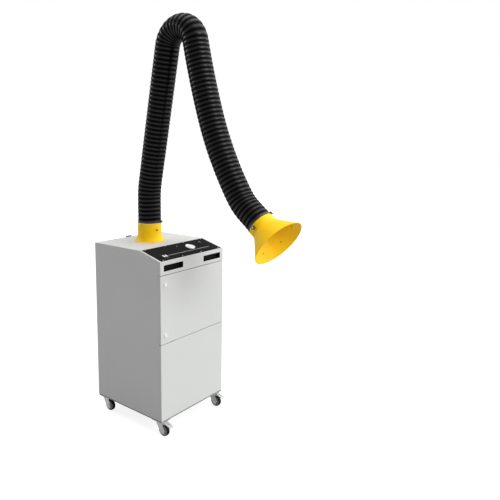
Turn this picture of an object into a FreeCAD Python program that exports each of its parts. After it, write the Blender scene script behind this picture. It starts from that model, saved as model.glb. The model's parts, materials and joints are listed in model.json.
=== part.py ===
import FreeCAD, Part
import math
import os
import Sketcher

Vector = FreeCAD.Vector

# Mobile fume extractor: a cabinet on four casters with a jointed extraction arm on its top.
# Origin on the floor under the middle of the cabinet, +Z up, front towards -Y, millimetres.

SIZES = {
    # cabinet
    "cabinet_width": 600,
    "cabinet_depth": 600,
    "floor_clearance": 100,
    "cabinet_height": 1064,
    "slope_depth": 177,
    "slope_height": 48,
    "sheet": 1.5,
    "panel_depth": 20,
    "return_width": 20,
    "pan_height": 10,
    "pan_wall": 2,
    "pan_inset": 2,
    "door_low": 502,
    "fascia_height": 132,
    "door_gap": 3.5,
    "frame_flange": 25,
    "running_gap": 0.3,
    "cut_overrun": 2,
    # shelf, filter and fan
    "shelf_thickness": 2,
    "shelf_rail": 24,
    "fan_inlet_radius": 100,
    "filter_side_gap": 20,
    "filter_rear_gap": 33.5,
    "filter_top_gap": 5,
    "filter_groove": 10,
    "filter_groove_depth": 30,
    "filter_border": 35,
    "filter_pitch": 40,
    "fan_housing_radius": 190,
    "fan_housing_height": 150,
    "fan_housing_wall": 3,
    "fan_duct_width": 180,
    "impeller_radius": 150,
    "impeller_plate": 3,
    "impeller_blade_height": 70,
    "impeller_blade_length": 60,
    "impeller_blade_count": 12,
    "impeller_hub_radius": 24,
    "impeller_hub_height": 24,
    "impeller_lift": 20,
    "motor_radius": 85,
    "motor_shaft_radius": 10,
    "motor_foot_width": 220,
    "motor_foot_thickness": 6,
    "shaft_clearance": 0.05,
    # back panel
    "slot_width": 300,
    "slot_height": 8,
    "slot_pitch": 20,
    "slot_count": 6,
    "gland_radius": 12,
    "gland_length": 24,
    "gland_bore": 4.5,
    "gland_inset": 100,
    "gland_rise": 80,
    # door, hinges and locks
    "hinge_length": 58,
    "hinge_radius": 3.6,
    "hinge_pin_radius": 2,
    "hinge_offset": 4,
    "hinge_leaf": 2,
    "hinge_leaf_reach": 20,
    "hinge_inset": 82,
    "lock_inset": 40,
    "lock_end_gap": 56,
    "lock_head_radius": 12.5,
    "lock_head_height": 6,
    "lock_shaft_radius": 5,
    "lock_cam_length": 30,
    "lock_cam_width": 14,
    "lock_cam_thickness": 3,
    "lock_slot_width": 3,
    "lock_slot_depth": 2,
    # grips in the fascia
    "grip_width": 172.5,
    "grip_height": 37.5,
    "grip_inset": 115.5,
    "grip_drop": 90.75,
    "grip_depth": 32,
    "grip_wall": 2,
    # control panel, on the slope
    "plate_side_gap": 13.5,
    "plate_end_gap": 5.445,
    "plate_thickness": 1.5,
    "screw_inset": 24,
    "screw_margin": 8,
    "screw_head_radius": 3.5,
    "screw_head_height": 2,
    "screw_radius": 2,
    "screw_length": 8,
    "gauge_side": 77,
    "gauge_down": 84,
    "gauge_radius": 32,
    "gauge_height": 4.5,
    "gauge_face_radius": 28.5,
    "gauge_face_depth": 2.5,
    "gauge_body_radius": 25,
    "gauge_body_depth": 30,
    "needle_length": 22,
    "needle_tail": 7,
    "needle_width": 2,
    "needle_thickness": 0.8,
    "needle_hub_radius": 3,
    "spindle_radius": 1,
    "needle_lift": 0.6,
    "switch_inset": 83,
    "switch_down": 139,
    "switch_width": 40,
    "switch_length": 46,
    "switch_height": 5.5,
    "button_width": 15,
    "button_length": 30,
    "button_spread": 10.5,
    "button_rise": 3,
    "button_well": 4,
    "knob_inset": 108,
    "knob_down": 63,
    "knob_radius": 12,
    "knob_height": 9,
    "knob_taper": 1.2,
    "knob_shaft_radius": 3,
    "knob_shaft_length": 14,
    "lamp_side": 15,
    "lamp_down": 47.5,
    "lamp_radius": 5,
    "lamp_height": 4,
    "lamp_body_radius": 4,
    "lamp_body_length": 15,
    # cable hook
    "hook_width": 50,
    "hook_thickness": 3,
    "hook_proud": 7,
    "hook_drop": 60,
    "hook_reach": 34,
    "hook_lip": 26,
    # inlet collar
    "collar_rear_gap": 210,
    "collar_height": 120,
    "collar_radius": 79,
    "collar_foot_radius": 80.5,
    "collar_flange_radius": 104,
    "collar_flange": 2,
    "collar_flare_radius": 95,
    "collar_flare_turn": 32,
    "collar_wall": 1.5,
    "collar_bead_radius": 1.5,
    "collar_bead_drop": 6,
    "collar_hole_radius": 76,
    "collar_screw_radius": 99.7,
    "collar_screw_count": 4,
    "collar_screw_turn": 9,
    "lock_screw_turn": -99.5,
    "lock_screw_rise": 79,
    "lock_screw_radius": 5,
    "lock_screw_length": 9,
    "lock_screw_shank": 3,
    # hose
    "hose_radius": 77.6,
    "hose_root_radius": 74.4,
    "hose_bore_radius": 72.6,
    "rib_pitch": 27,
    "hose_foot_length": 156,
    "shoulder_bend_length": 120,
    "shoulder_turn": 11.8,
    "lower_leg_length": 860,
    "fold_radius": 124.5,
    "fold_turn": 155.2,
    "forearm_length_one": 442.4,
    "forearm_turn_one": -5.5,
    "forearm_length_two": 523,
    "forearm_turn_two": -15.7,
    "wrist_bend_length": 100,
    "wrist_turn": -17.8,
    "hose_end_length": 110,
    # arm inside the hose
    "arm_turn": -94,
    "spigot_wall": 1.5,
    "spigot_depth": 90,
    "spigot_rise": 55,
    "spigot_flange": 2,
    "strap_height": 20,
    "strap_half_length": 67,
    "cheek_inner": 12,
    "cheek_outer": 17,
    "eye_half_width": 11.7,
    "eye_radius": 16,
    "pin_radius": 6,
    "pin_head_radius": 10,
    "pin_head_height": 4,
    "pin_clearance": 0.05,
    "tube_radius": 14,
    "tube_bore": 11,
    "tube_setback": 40,
    "bar_height": 26,
    "block_length": 36,
    "elbow_offset_height": 15,
    "fork_rod_radius": 8,
    "fork_rod_half": 70,
    # hood
    "hood_neck_radius": 79,
    "hood_wall": 1.5,
    "hood_tail_length": 15,
    "hood_neck_length": 11,
    "hood_depth": 139,
    "hood_mouth_radius": 158,
    "hood_flare_radius": 51,
    "hood_flare_turn": 35,
    "hood_rim_thickness": 3,
    "hood_bolt_radius": 5,
    "hood_bolt_head": 11,
    "hood_bolt_height": 8,
    "hood_screw_station": 95,
    "hood_screw_count": 6,
    "hood_screw_turn": 6,
    "hood_screw_radius": 3.5,
    "clamp_width": 12,
    "clamp_thickness": 0.8,
    "clamp_lug_length": 22,
    "clamp_lug_size": 9,
    "lower_lug_turn": -60,
    "hood_lug_turn": 153,
    # casters
    "caster_side_inset": 40,
    "caster_end_inset": 45,
    "caster_trail_length": 28,
    "wheel_radius": 37.5,
    "wheel_width": 25,
    "wheel_bore": 5,
    "wheel_hub_radius": 14,
    "wheel_hub_width": 31,
    "wheel_rim_radius": 27,
    "wheel_dish": 4,
    "tread_round": 5,
    "caster_plate_width": 76,
    "caster_plate_length": 88,
    "caster_plate": 3,
    "race_radius": 23,
    "race_height": 8,
    "king_radius": 5,
    "king_head_radius": 8,
    "king_head_height": 3,
    "crown_height": 3,
    "fork_inner": 34,
    "fork_sheet": 2.5,
    "fork_foot_radius": 20,
    "axle_radius": 4.9,
    "axle_head_radius": 8,
    "axle_head_height": 4,
    "pedal_width": 30,
    "pedal_slot": 8,
    "pedal_pin_radius": 2.5,
    "pedal_reach": 94,
}

RIB_SHARES = (0.0, 0.22, 0.62, 0.84)
BEAD_SHARE = 0.9


class Size:
    """A length or an angle that keeps its number and the expression that gives it."""

    def __init__(self, number, text):
        self.number = number
        self.text = text

    def __add__(self, other):
        return joined(self, "+", other)

    def __radd__(self, other):
        return joined(other, "+", self)

    def __sub__(self, other):
        return joined(self, "-", other)

    def __rsub__(self, other):
        return joined(other, "-", self)

    def __mul__(self, other):
        return joined(self, "*", other)

    def __rmul__(self, other):
        return joined(other, "*", self)

    def __truediv__(self, other):
        return joined(self, "/", other)

    def __neg__(self):
        return Size(-self.number, "(-%s)" % self.text)


def as_size(value):
    if isinstance(value, Size):
        return value
    return Size(float(value), "%.12g" % value)


def joined(first, sign, second):
    first = as_size(first)
    second = as_size(second)
    results = {
        "+": lambda a, b: a + b,
        "-": lambda a, b: a - b,
        "*": lambda a, b: a * b,
        "/": lambda a, b: a / b,
    }
    number = results[sign](first.number, second.number)
    return Size(number, "(%s %s %s)" % (first.text, sign, second.text))


def sine(angle):
    angle = as_size(angle)
    return Size(math.sin(math.radians(angle.number)), "sin(%s)" % angle.text)


def cosine(angle):
    angle = as_size(angle)
    return Size(math.cos(math.radians(angle.number)), "cos(%s)" % angle.text)


def tangent(angle):
    angle = as_size(angle)
    return Size(math.tan(math.radians(angle.number)), "tan(%s)" % angle.text)


def heading_of(run, rise):
    """Angle from straight up towards forward, in degrees."""
    number = math.degrees(math.atan2(run.number, rise.number))
    return Size(number, "(90 - atan2(%s; %s) / 1 deg)" % (rise.text, run.text))


def root(value):
    return Size(math.sqrt(value.number), "sqrt(%s)" % value.text)


doc = FreeCAD.newDocument("FumeExtractor")
sheet = doc.addObject("Spreadsheet::Sheet", "Sizes")
worked = doc.addObject("Spreadsheet::Sheet", "Worked")


class Values:
    """The sheet's values by name."""


V = Values()
for row, (alias, number) in enumerate(SIZES.items(), start=1):
    sheet.set("A%d" % row, alias)
    sheet.set("B%d" % row, "%.12g" % number)
    sheet.setAlias("B%d" % row, alias)
    setattr(V, alias, Size(float(number), "Sizes." + alias))

worked_names = []


def work_out(name, value):
    """Keeps a worked-out value in the second sheet, under its own alias."""
    worked_names.append(name)
    cell = "B%d" % len(worked_names)
    worked.set("A%d" % len(worked_names), name)
    worked.set(cell, "=" + value.text)
    worked.setAlias(cell, name)
    kept = Size(value.number, "Worked." + name)
    setattr(V, name, kept)
    return kept


nodes = []


def node(item, name):
    item.Label = name
    nodes.append(item)
    return item


# Placing and primitives


def point_text(values):
    return "; ".join(as_size(value).text for value in values)


def spot(values, axis=(0, 0, 1), angle=0):
    """The expression of a placement: a base point and a turn about an axis."""
    turn = "rotation(vector(%d; %d; %d); %s)" % (axis + (as_size(angle).text,))
    return "placement(vector(%s); %s)" % (point_text(values), turn)


def placed(item, *spots):
    item.setExpression("Placement", " * ".join(spots))
    return item


def box(name, corner, size):
    item = doc.addObject("Part::Box", name)
    for field, value in zip(("Length", "Width", "Height"), size):
        item.setExpression(field, as_size(value).text)
    return placed(item, spot(corner))


TURNS = {"x": ((0, 1, 0), 90), "y": ((1, 0, 0), -90), "z": ((0, 0, 1), 0)}


def rod(name, start, radius, length, along="z"):
    item = doc.addObject("Part::Cylinder", name)
    item.setExpression("Radius", as_size(radius).text)
    item.setExpression("Height", as_size(length).text)
    axis, angle = TURNS[along]
    return placed(item, spot(start, axis, angle))


def union(name, pieces):
    item = doc.addObject("Part::MultiFuse", name)
    item.Shapes = pieces
    item.Refine = True
    return item


def cut(name, base, tools):
    tool = tools[0]
    if len(tools) > 1:
        tool = doc.addObject("Part::Compound", name + "_tools")
        tool.Links = tools
    item = doc.addObject("Part::Cut", name)
    item.Base = base
    item.Tool = tool
    item.Refine = True
    return item


def group(name, pieces):
    item = doc.addObject("Part::Compound", name)
    item.Links = pieces
    return item


# Sketched bodies


class Bend:
    """An arc between two outline points: its centre, radius and sense."""

    def __init__(self, centre, radius, clockwise=False):
        self.centre = centre
        self.radius = radius
        self.clockwise = clockwise


def flat(values):
    return Vector(as_size(values[0]).number, as_size(values[1]).number, 0)


def sketch_on(body, role):
    sketch = body.newObject("Sketcher::SketchObject", body.Name + "_outline")
    plane = [item for item in body.Origin.OriginFeatures if item.Role == role][0]
    sketch.AttachmentSupport = [(plane, "")]
    sketch.MapMode = "FlatFace"
    return sketch


def pin_point(sketch, edge, end, values):
    for kind, value in zip(("DistanceX", "DistanceY"), values):
        value = as_size(value)
        if value.number == 0:
            axis = -2 if kind == "DistanceX" else -1
            sketch.addConstraint(Sketcher.Constraint("PointOnObject", edge, end, axis))
            continue
        index = sketch.addConstraint(Sketcher.Constraint(kind, -1, 1, edge, end, value.number))
        sketch.setExpression("Constraints[%d]" % index, value.text)


def outline(sketch, steps):
    """A closed outline: points, with a Bend before a point that an arc leads to."""
    points = []
    bends = []
    bend = None
    for step in steps:
        if isinstance(step, Bend):
            bend = step
            continue
        points.append(step)
        bends.append(bend)
        bend = None
    bends.append(bend if bend else bends[0])
    bends = bends[1:]
    starts = []
    ends = []
    count = len(points)
    for index in range(count):
        first = flat(points[index])
        last = flat(points[(index + 1) % count])
        bend = bends[index]
        if bend is None:
            edge = sketch.addGeometry(Part.LineSegment(first, last), False)
            starts.append((edge, 1))
            ends.append((edge, 2))
            continue
        centre = flat(bend.centre)
        if bend.clockwise:
            first, last = last, first
        low = math.atan2(first.y - centre.y, first.x - centre.x)
        high = math.atan2(last.y - centre.y, last.x - centre.x)
        circle = Part.Circle(centre, Vector(0, 0, 1), bend.radius.number)
        edge = sketch.addGeometry(Part.ArcOfCircle(circle, low, high), False)
        starts.append((edge, 2 if bend.clockwise else 1))
        ends.append((edge, 1 if bend.clockwise else 2))
    for index in range(count):
        after = (index + 1) % count
        sketch.addConstraint(Sketcher.Constraint("Coincident", *ends[index], *starts[after]))
        pin_point(sketch, *starts[index], points[index])
        if bends[index] is not None:
            radius = bends[index].radius
            edge = starts[index][0]
            number = sketch.addConstraint(Sketcher.Constraint("Radius", edge, radius.number))
            sketch.setExpression("Constraints[%d]" % number, radius.text)


def padded(name, role, steps, length):
    body = doc.addObject("PartDesign::Body", name)
    sketch = sketch_on(body, role)
    outline(sketch, steps)
    pad = body.newObject("PartDesign::Pad", name + "_pad")
    pad.Profile = sketch
    pad.setExpression("Length", as_size(length).text)
    sketch.Visibility = False
    return body


def turned(name, steps):
    """A body turned about Z from an outline of radius and height."""
    body = doc.addObject("PartDesign::Body", name)
    sketch = sketch_on(body, "XZ_Plane")
    outline(sketch, steps)
    turn = body.newObject("PartDesign::Revolution", name + "_turn")
    turn.Profile = sketch
    turn.ReferenceAxis = (sketch, ["V_Axis"])
    turn.Angle = 360
    return body


# Worked-out places

half_width = work_out("half_width", V.cabinet_width / 2)
front = work_out("front", -V.cabinet_depth / 2)
rear = work_out("rear", V.cabinet_depth / 2)
base = V.floor_clearance
top = work_out("top", V.floor_clearance + V.cabinet_height)
step_back = work_out("step_back", front + V.panel_depth)
pan_top = work_out("pan_top", base + V.pan_height)
fascia_low = work_out("fascia_low", top - V.fascia_height)
front_edge = work_out("front_edge", top - V.slope_height)
slope_top = work_out("slope_top", front + V.slope_depth)
slope_angle = work_out("slope_angle", 90 - heading_of(V.slope_depth, V.slope_height))
slope_length = work_out(
    "slope_length",
    root(V.slope_depth * V.slope_depth + V.slope_height * V.slope_height),
)
slope_rise = V.sheet / cosine(slope_angle)
inner_edge = work_out("inner_edge", front_edge + V.sheet * tangent(slope_angle) - slope_rise)
inner_slope_top = work_out(
    "inner_slope_top",
    front + (V.slope_height - V.sheet + slope_rise) / tangent(slope_angle),
)
gap = V.running_gap
over = V.cut_overrun

# Places taken from the cabinet's edges

work_out("collar_back", rear - V.collar_rear_gap)
work_out("gland_side", half_width - V.gland_inset)
work_out("lock_side", half_width - V.lock_inset)
work_out("grip_side", half_width - V.grip_inset)
work_out("switch_side", half_width - V.switch_inset)
work_out("knob_side", half_width - V.knob_inset)
work_out("caster_side", half_width - V.caster_side_inset)
work_out("caster_front", rear - V.caster_end_inset)
work_out("plate_width", V.cabinet_width - V.plate_side_gap * 2)
work_out("plate_length", slope_length - V.plate_end_gap * 2)
work_out("screw_spacing", (V.plate_width - V.screw_inset * 2) / 3)
work_out("filter_width", V.cabinet_width - V.filter_side_gap * 2)


# Control panel places are taken on the slope: sideways, down from its upper edge, and up from it.


def on_slope(side, down, lift):
    return spot(
        (
            side,
            slope_top - down * cosine(slope_angle) - lift * sine(slope_angle),
            top - down * sine(slope_angle) + lift * cosine(slope_angle),
        ),
        (1, 0, 0),
        slope_angle,
    )


def slope_box(name, side, down, lift, size):
    """A block on the slope, middled on its place."""
    item = doc.addObject("Part::Box", name)
    for field, value in zip(("Length", "Width", "Height"), size):
        item.setExpression(field, as_size(value).text)
    return placed(item, on_slope(side - size[0] / 2, down + size[1] / 2, lift))


def slope_rod(name, side, down, lift, radius, length):
    item = doc.addObject("Part::Cylinder", name)
    item.setExpression("Radius", as_size(radius).text)
    item.setExpression("Height", as_size(length).text)
    return placed(item, on_slope(side, down, lift))


plate_middle = slope_length / 2
screw_downs = (
    plate_middle - V.plate_length / 2 + V.screw_margin,
    plate_middle + V.plate_length / 2 - V.screw_margin,
)
SCREW_SHARES = (-1.5, -0.5, 0.5, 1.5)
screw_places = [(V.screw_spacing * step, down) for down in screw_downs for step in SCREW_SHARES]


def panel_holes(name, clearance):
    """Tools for the holes that the panel's fittings pass through."""
    fittings = [
        (V.gauge_side, V.gauge_down, V.gauge_body_radius),
        (V.knob_side, V.knob_down, V.knob_shaft_radius),
        (-V.lamp_side, V.lamp_down, V.lamp_body_radius),
    ]
    fittings += [(side, down, V.screw_radius) for side, down in screw_places]
    depth = V.gauge_body_depth
    tools = []
    for side, down, radius in fittings:
        tools.append(slope_rod(name, side, down, -depth, radius + clearance, depth * 2))
    return tools


# Base pan: a folded tray, open at the top.

pan_side = half_width - V.pan_inset
pan_outer = box(
    "pan_outer",
    (-pan_side, front + V.pan_inset, base),
    (pan_side * 2, V.cabinet_depth - V.pan_inset * 2, V.pan_height),
)
pan_inner = box(
    "pan_inner",
    (V.pan_wall - pan_side, front + V.pan_inset + V.pan_wall, base + V.pan_wall),
    (
        (pan_side - V.pan_wall) * 2,
        V.cabinet_depth - (V.pan_inset + V.pan_wall) * 2,
        V.pan_height,
    ),
)
node(cut("base_pan", pan_outer, [pan_inner]), "base_pan")

# Side panels: a cut sheet that follows the cabinet's outline, with a front return behind the door.

side_steps = [
    (step_back, pan_top),
    (rear, pan_top),
    (rear, top - V.sheet),
    (inner_slope_top, top - V.sheet),
    (front + V.sheet, inner_edge),
    (front + V.sheet, fascia_low + V.sheet),
    (step_back, fascia_low + V.sheet),
]
flange_low = work_out("flange_low", fascia_low - V.frame_flange)
for side_name, low_side, return_side in (
    ("left", -half_width, V.sheet - half_width),
    ("right", half_width - V.sheet, half_width - V.return_width),
):
    skin = padded(side_name + "_skin", "YZ_Plane", side_steps, V.sheet)
    placed(skin, spot((low_side, 0, 0)))
    fold = box(
        side_name + "_return",
        (return_side, step_back, pan_top),
        (V.return_width - V.sheet, V.sheet, flange_low - pan_top),
    )
    node(union(side_name + "_side_panel", [skin, fold]), side_name + "_side_panel")

# The collar's screws go through its flange and the top, so both take their places from here.


def collar_rods(name, radius, low, length):
    rods = []
    count = int(SIZES["collar_screw_count"])
    for step in range(count):
        item = doc.addObject("Part::Cylinder", name)
        item.setExpression("Radius", as_size(radius).text)
        item.setExpression("Height", as_size(length).text)
        turn = V.collar_screw_turn + 360 / count * step
        around = spot((0, V.collar_back, top), (0, 0, 1), turn)
        rods.append(placed(item, around, spot((V.collar_screw_radius, 0, low))))
    return rods


# Top cover: one folded sheet with the top, the slope, the fascia and a flange above the door.

cover_steps = [
    (front, fascia_low),
    (front, front_edge),
    (slope_top, top),
    (rear, top),
    (rear, top - V.sheet),
    (inner_slope_top, top - V.sheet),
    (front + V.sheet, inner_edge),
    (front + V.sheet, fascia_low + V.sheet),
    (step_back, fascia_low + V.sheet),
    (step_back, fascia_low),
]
cover_sheet = padded("cover_sheet", "YZ_Plane", cover_steps, V.cabinet_width)
placed(cover_sheet, spot((-half_width, 0, 0)))
inside_width = work_out("inside_width", V.cabinet_width - V.sheet * 2)
cover_flange = box(
    "cover_flange",
    (-inside_width / 2, step_back, flange_low),
    (inside_width, V.sheet, V.frame_flange + V.sheet),
)
cover_whole = union("cover_whole", [cover_sheet, cover_flange])
inlet_hole = rod(
    "inlet_hole",
    (0, V.collar_back, top - V.sheet - over),
    V.collar_hole_radius,
    V.sheet + over * 2,
)
grip_low = work_out("grip_low", top - V.grip_drop - V.grip_height / 2)
grip_holes = []
for side in (-V.grip_side, V.grip_side):
    grip_holes.append(
        box(
            "grip_hole",
            (side - V.grip_width / 2, front - over, grip_low),
            (V.grip_width, V.sheet + over * 2, V.grip_height),
        )
    )
cover_tools = [inlet_hole] + grip_holes + panel_holes("cover_hole", gap)
cover_tools += collar_rods("cover_screw_hole", V.screw_radius + gap, -V.screw_length, V.screw_length * 2)
node(cut("top_cover", cover_whole, cover_tools), "top_cover")

# Grip shells: black moulded recesses, flush in the fascia's openings.

for side_name, side in (("left", -V.grip_side), ("right", V.grip_side)):
    shell = box(
        "grip_outer",
        (side - V.grip_width / 2, front, grip_low),
        (V.grip_width, V.grip_depth, V.grip_height),
    )
    hollow = box(
        "grip_inner",
        (side - V.grip_width / 2 + V.grip_wall, front - over, grip_low + V.grip_wall),
        (
            V.grip_width - V.grip_wall * 2,
            V.grip_depth - V.grip_wall + over,
            V.grip_height - V.grip_wall * 2,
        ),
    )
    node(cut("grip_shell_" + side_name, shell, [hollow]), "grip_shell_" + side_name)

# Back panel: a tray between the side panels, with outlet slots and the cable gland's hole.

back_outer = box(
    "back_outer",
    (-inside_width / 2, rear - V.panel_depth, pan_top),
    (inside_width, V.panel_depth, top - V.sheet - pan_top),
)
back_inner = box(
    "back_inner",
    (V.sheet - inside_width / 2, rear - V.panel_depth - over, pan_top + V.sheet),
    (
        inside_width - V.sheet * 2,
        V.panel_depth - V.sheet + over,
        top - pan_top - V.sheet * 3,
    ),
)
housing_low = work_out("housing_low", base + V.door_low - V.fan_housing_height - V.shelf_thickness)
back_tools = [back_inner]
for step in range(int(SIZES["slot_count"])):
    back_tools.append(
        box(
            "outlet_slot",
            (-V.slot_width / 2, rear - V.panel_depth, housing_low + V.slot_pitch * (step + 1)),
            (V.slot_width, V.panel_depth + over, V.slot_height),
        )
    )
gland_height = work_out("gland_height", pan_top + V.gland_rise)
back_tools.append(
    rod(
        "gland_hole",
        (V.gland_side, rear - V.panel_depth, gland_height),
        V.gland_radius * 2 / 3 + gap,
        V.panel_depth + over,
        "y",
    )
)
node(cut("back_panel", back_outer, back_tools), "back_panel")

# Mains inlet: a cable gland with its nut inside the back panel.

gland_nut = rod("gland_nut", (V.gland_side, rear, gland_height), V.gland_radius, V.gland_length / 3, "y")
gland_stem = rod(
    "gland_stem",
    (V.gland_side, rear - V.panel_depth / 2, gland_height),
    V.gland_radius * 2 / 3,
    V.panel_depth / 2 + V.gland_length,
    "y",
)
gland_bore = rod(
    "gland_bore",
    (V.gland_side, rear - V.panel_depth, gland_height),
    V.gland_bore,
    V.panel_depth + V.gland_length * 2,
    "y",
)
gland_solid = union("gland_solid", [gland_nut, gland_stem])
node(cut("mains_inlet", gland_solid, [gland_bore]), "mains_inlet")

# Cable hook: a bent strip on the back panel, standing just above the top.

hook_side = V.hook_width / 2
hook_plate = box(
    "hook_plate",
    (-hook_side, rear, top - V.hook_drop),
    (V.hook_width, V.hook_thickness, V.hook_drop + V.hook_proud),
)
hook_ledge = box(
    "hook_ledge",
    (-hook_side, rear, top - V.hook_drop),
    (V.hook_width, V.hook_reach, V.hook_thickness),
)
hook_lip = box(
    "hook_lip",
    (-hook_side, rear + V.hook_reach - V.hook_thickness, top - V.hook_drop),
    (V.hook_width, V.hook_thickness, V.hook_lip),
)
node(union("cable_hook", [hook_plate, hook_ledge, hook_lip]), "cable_hook")

# Lower front panel and upper door: folded trays, open at the back.


def tray(name, low, height):
    outer = box(name + "_outer", (-half_width, front, low), (V.cabinet_width, V.panel_depth, height))
    inner = box(
        name + "_inner",
        (V.sheet - half_width, front + V.sheet, low + V.sheet),
        (V.cabinet_width - V.sheet * 2, V.panel_depth, height - V.sheet * 2),
    )
    return outer, inner


door_bottom = work_out("door_bottom", base + V.door_low + V.door_gap / 2)
door_height = work_out("door_height", fascia_low - V.door_gap - door_bottom)
lower_height = work_out("lower_height", base + V.door_low - V.door_gap / 2 - pan_top)
lower_outer, lower_inner = tray("lower", pan_top, lower_height)
node(cut("lower_front_panel", lower_outer, [lower_inner]), "lower_front_panel")

lock_heights = {
    "lower": work_out("lock_lower_height", base + V.door_low + V.lock_end_gap),
    "upper": work_out("lock_upper_height", fascia_low - V.lock_end_gap),
}
door_outer, door_inner = tray("door", door_bottom, door_height)
door_tools = [door_inner]
for height in lock_heights.values():
    door_tools.append(
        rod(
            "lock_hole",
            (-V.lock_side, front - over, height),
            V.lock_shaft_radius + V.shaft_clearance,
            V.sheet + over * 2,
            "y",
        )
    )
node(cut("upper_door", door_outer, door_tools), "upper_door")

# Quarter-turn locks: a slotted head, a shaft through the door and a cam behind the frame's return.

cam_front = step_back + V.sheet + gap
for lock_name, height in lock_heights.items():
    head = rod(
        "lock_head",
        (-V.lock_side, front - V.lock_head_height, height),
        V.lock_head_radius,
        V.lock_head_height,
        "y",
    )
    shaft = rod(
        "lock_shaft",
        (-V.lock_side, front, height),
        V.lock_shaft_radius,
        cam_front + V.lock_cam_thickness - front,
        "y",
    )
    cam = box(
        "lock_cam",
        (-V.lock_side - V.lock_cam_width / 2, cam_front, height - V.lock_cam_width / 2),
        (V.lock_cam_width, V.lock_cam_thickness, V.lock_cam_length + V.lock_cam_width / 2),
    )
    slot = box(
        "lock_slot",
        (
            -V.lock_side - V.lock_slot_width / 2,
            front - V.lock_head_height - over,
            height - V.lock_head_radius * 2 / 3,
        ),
        (V.lock_slot_width, V.lock_slot_depth + over, V.lock_head_radius * 4 / 3),
    )
    solid = union("lock_solid", [head, shaft, cam])
    node(cut("lock_" + lock_name, solid, [slot]), "lock_" + lock_name)

# Hinges: lift-off halves outside the right edge, the pins fixed to the lower halves.

hinge_x = work_out("hinge_x", half_width + V.hinge_offset)
hinge_y = work_out("hinge_y", front + V.panel_depth / 2)
half_hinge = V.hinge_length / 2
post_pieces = []
leaf_pieces = []
for height in (door_bottom + V.hinge_inset, door_bottom + door_height - V.hinge_inset):
    knuckle = rod("post_knuckle", (hinge_x, hinge_y, height - half_hinge), V.hinge_radius, half_hinge)
    pin = rod(
        "post_pin",
        (hinge_x, hinge_y, height - half_hinge),
        V.hinge_pin_radius,
        V.hinge_length - V.hinge_pin_radius,
    )
    plate = box(
        "post_plate",
        (half_width, step_back + gap * 2, height - half_hinge),
        (V.hinge_leaf, V.hinge_leaf_reach, half_hinge),
    )
    neck = box(
        "post_neck",
        (half_width + gap, hinge_y, height - half_hinge),
        (V.hinge_leaf - gap, V.panel_depth / 2 + V.hinge_leaf, half_hinge),
    )
    post_pieces.append(union("post", [knuckle, pin, plate, neck]))
    sleeve = rod("leaf_knuckle", (hinge_x, hinge_y, height), V.hinge_radius, half_hinge)
    leaf = box(
        "leaf_plate",
        (half_width, front + gap, height),
        (V.hinge_leaf, V.panel_depth / 2, half_hinge),
    )
    bore = rod(
        "leaf_bore",
        (hinge_x, hinge_y, height - over),
        V.hinge_pin_radius + V.shaft_clearance,
        half_hinge - V.hinge_pin_radius + V.shaft_clearance + over,
    )
    leaf_pieces.append(cut("leaf", union("leaf_solid", [sleeve, leaf]), [bore]))
node(group("hinge_posts", post_pieces), "hinge_posts")
node(group("hinge_leaves", leaf_pieces), "hinge_leaves")

# Shelf between the filter chamber and the fan chamber, with a rail behind the gap.

shelf_top = work_out("shelf_top", base + V.door_low)
shelf_front = work_out("shelf_front", step_back + V.sheet)
shelf_plate = box(
    "shelf_plate",
    (-inside_width / 2, shelf_front, shelf_top - V.shelf_thickness),
    (inside_width, rear - V.panel_depth - shelf_front, V.shelf_thickness),
)
rail_side = half_width - V.return_width
shelf_rail = box(
    "shelf_rail_bar",
    (-rail_side, step_back, shelf_top - V.shelf_rail / 2),
    (rail_side * 2, V.sheet, V.shelf_rail),
)
shelf_lip = box(
    "shelf_lip",
    (-rail_side, step_back, shelf_top - V.shelf_thickness),
    (rail_side * 2, V.sheet * 2, V.shelf_thickness),
)
shelf_solid = union("shelf_solid", [shelf_plate, shelf_rail, shelf_lip])
shelf_hole = rod(
    "shelf_hole",
    (0, 0, shelf_top - V.shelf_thickness - over),
    V.fan_inlet_radius,
    V.shelf_thickness + over * 2,
)
node(cut("divider_shelf", shelf_solid, [shelf_hole]), "divider_shelf")

# Filter cassette: a frame with the pleats' grooves in its face towards the door.

filter_front = work_out("filter_front", shelf_front + V.lock_cam_thickness + V.pan_wall)
work_out("filter_depth", rear - V.panel_depth - V.filter_rear_gap - filter_front)
work_out("filter_height", flange_low - V.filter_top_gap - shelf_top)
filter_block = box(
    "filter_block",
    (-V.filter_width / 2, filter_front, shelf_top),
    (V.filter_width, V.filter_depth, V.filter_height),
)
filter_tools = []
groove_count = int((V.filter_width.number - V.filter_border.number * 2) / V.filter_pitch.number)
for step in range(groove_count):
    place = V.filter_border + V.filter_pitch * step - V.filter_width / 2
    filter_tools.append(
        box(
            "pleat",
            (place + V.filter_pitch / 2, filter_front - over, shelf_top + V.filter_border),
            (V.filter_groove, V.filter_groove_depth + over, V.filter_height - V.filter_border * 2),
        )
    )
node(cut("filter_cassette", filter_block, filter_tools), "filter_cassette")

# Fan: a round housing hung under the shelf, its duct to the back panel, a motor and an impeller.

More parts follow.
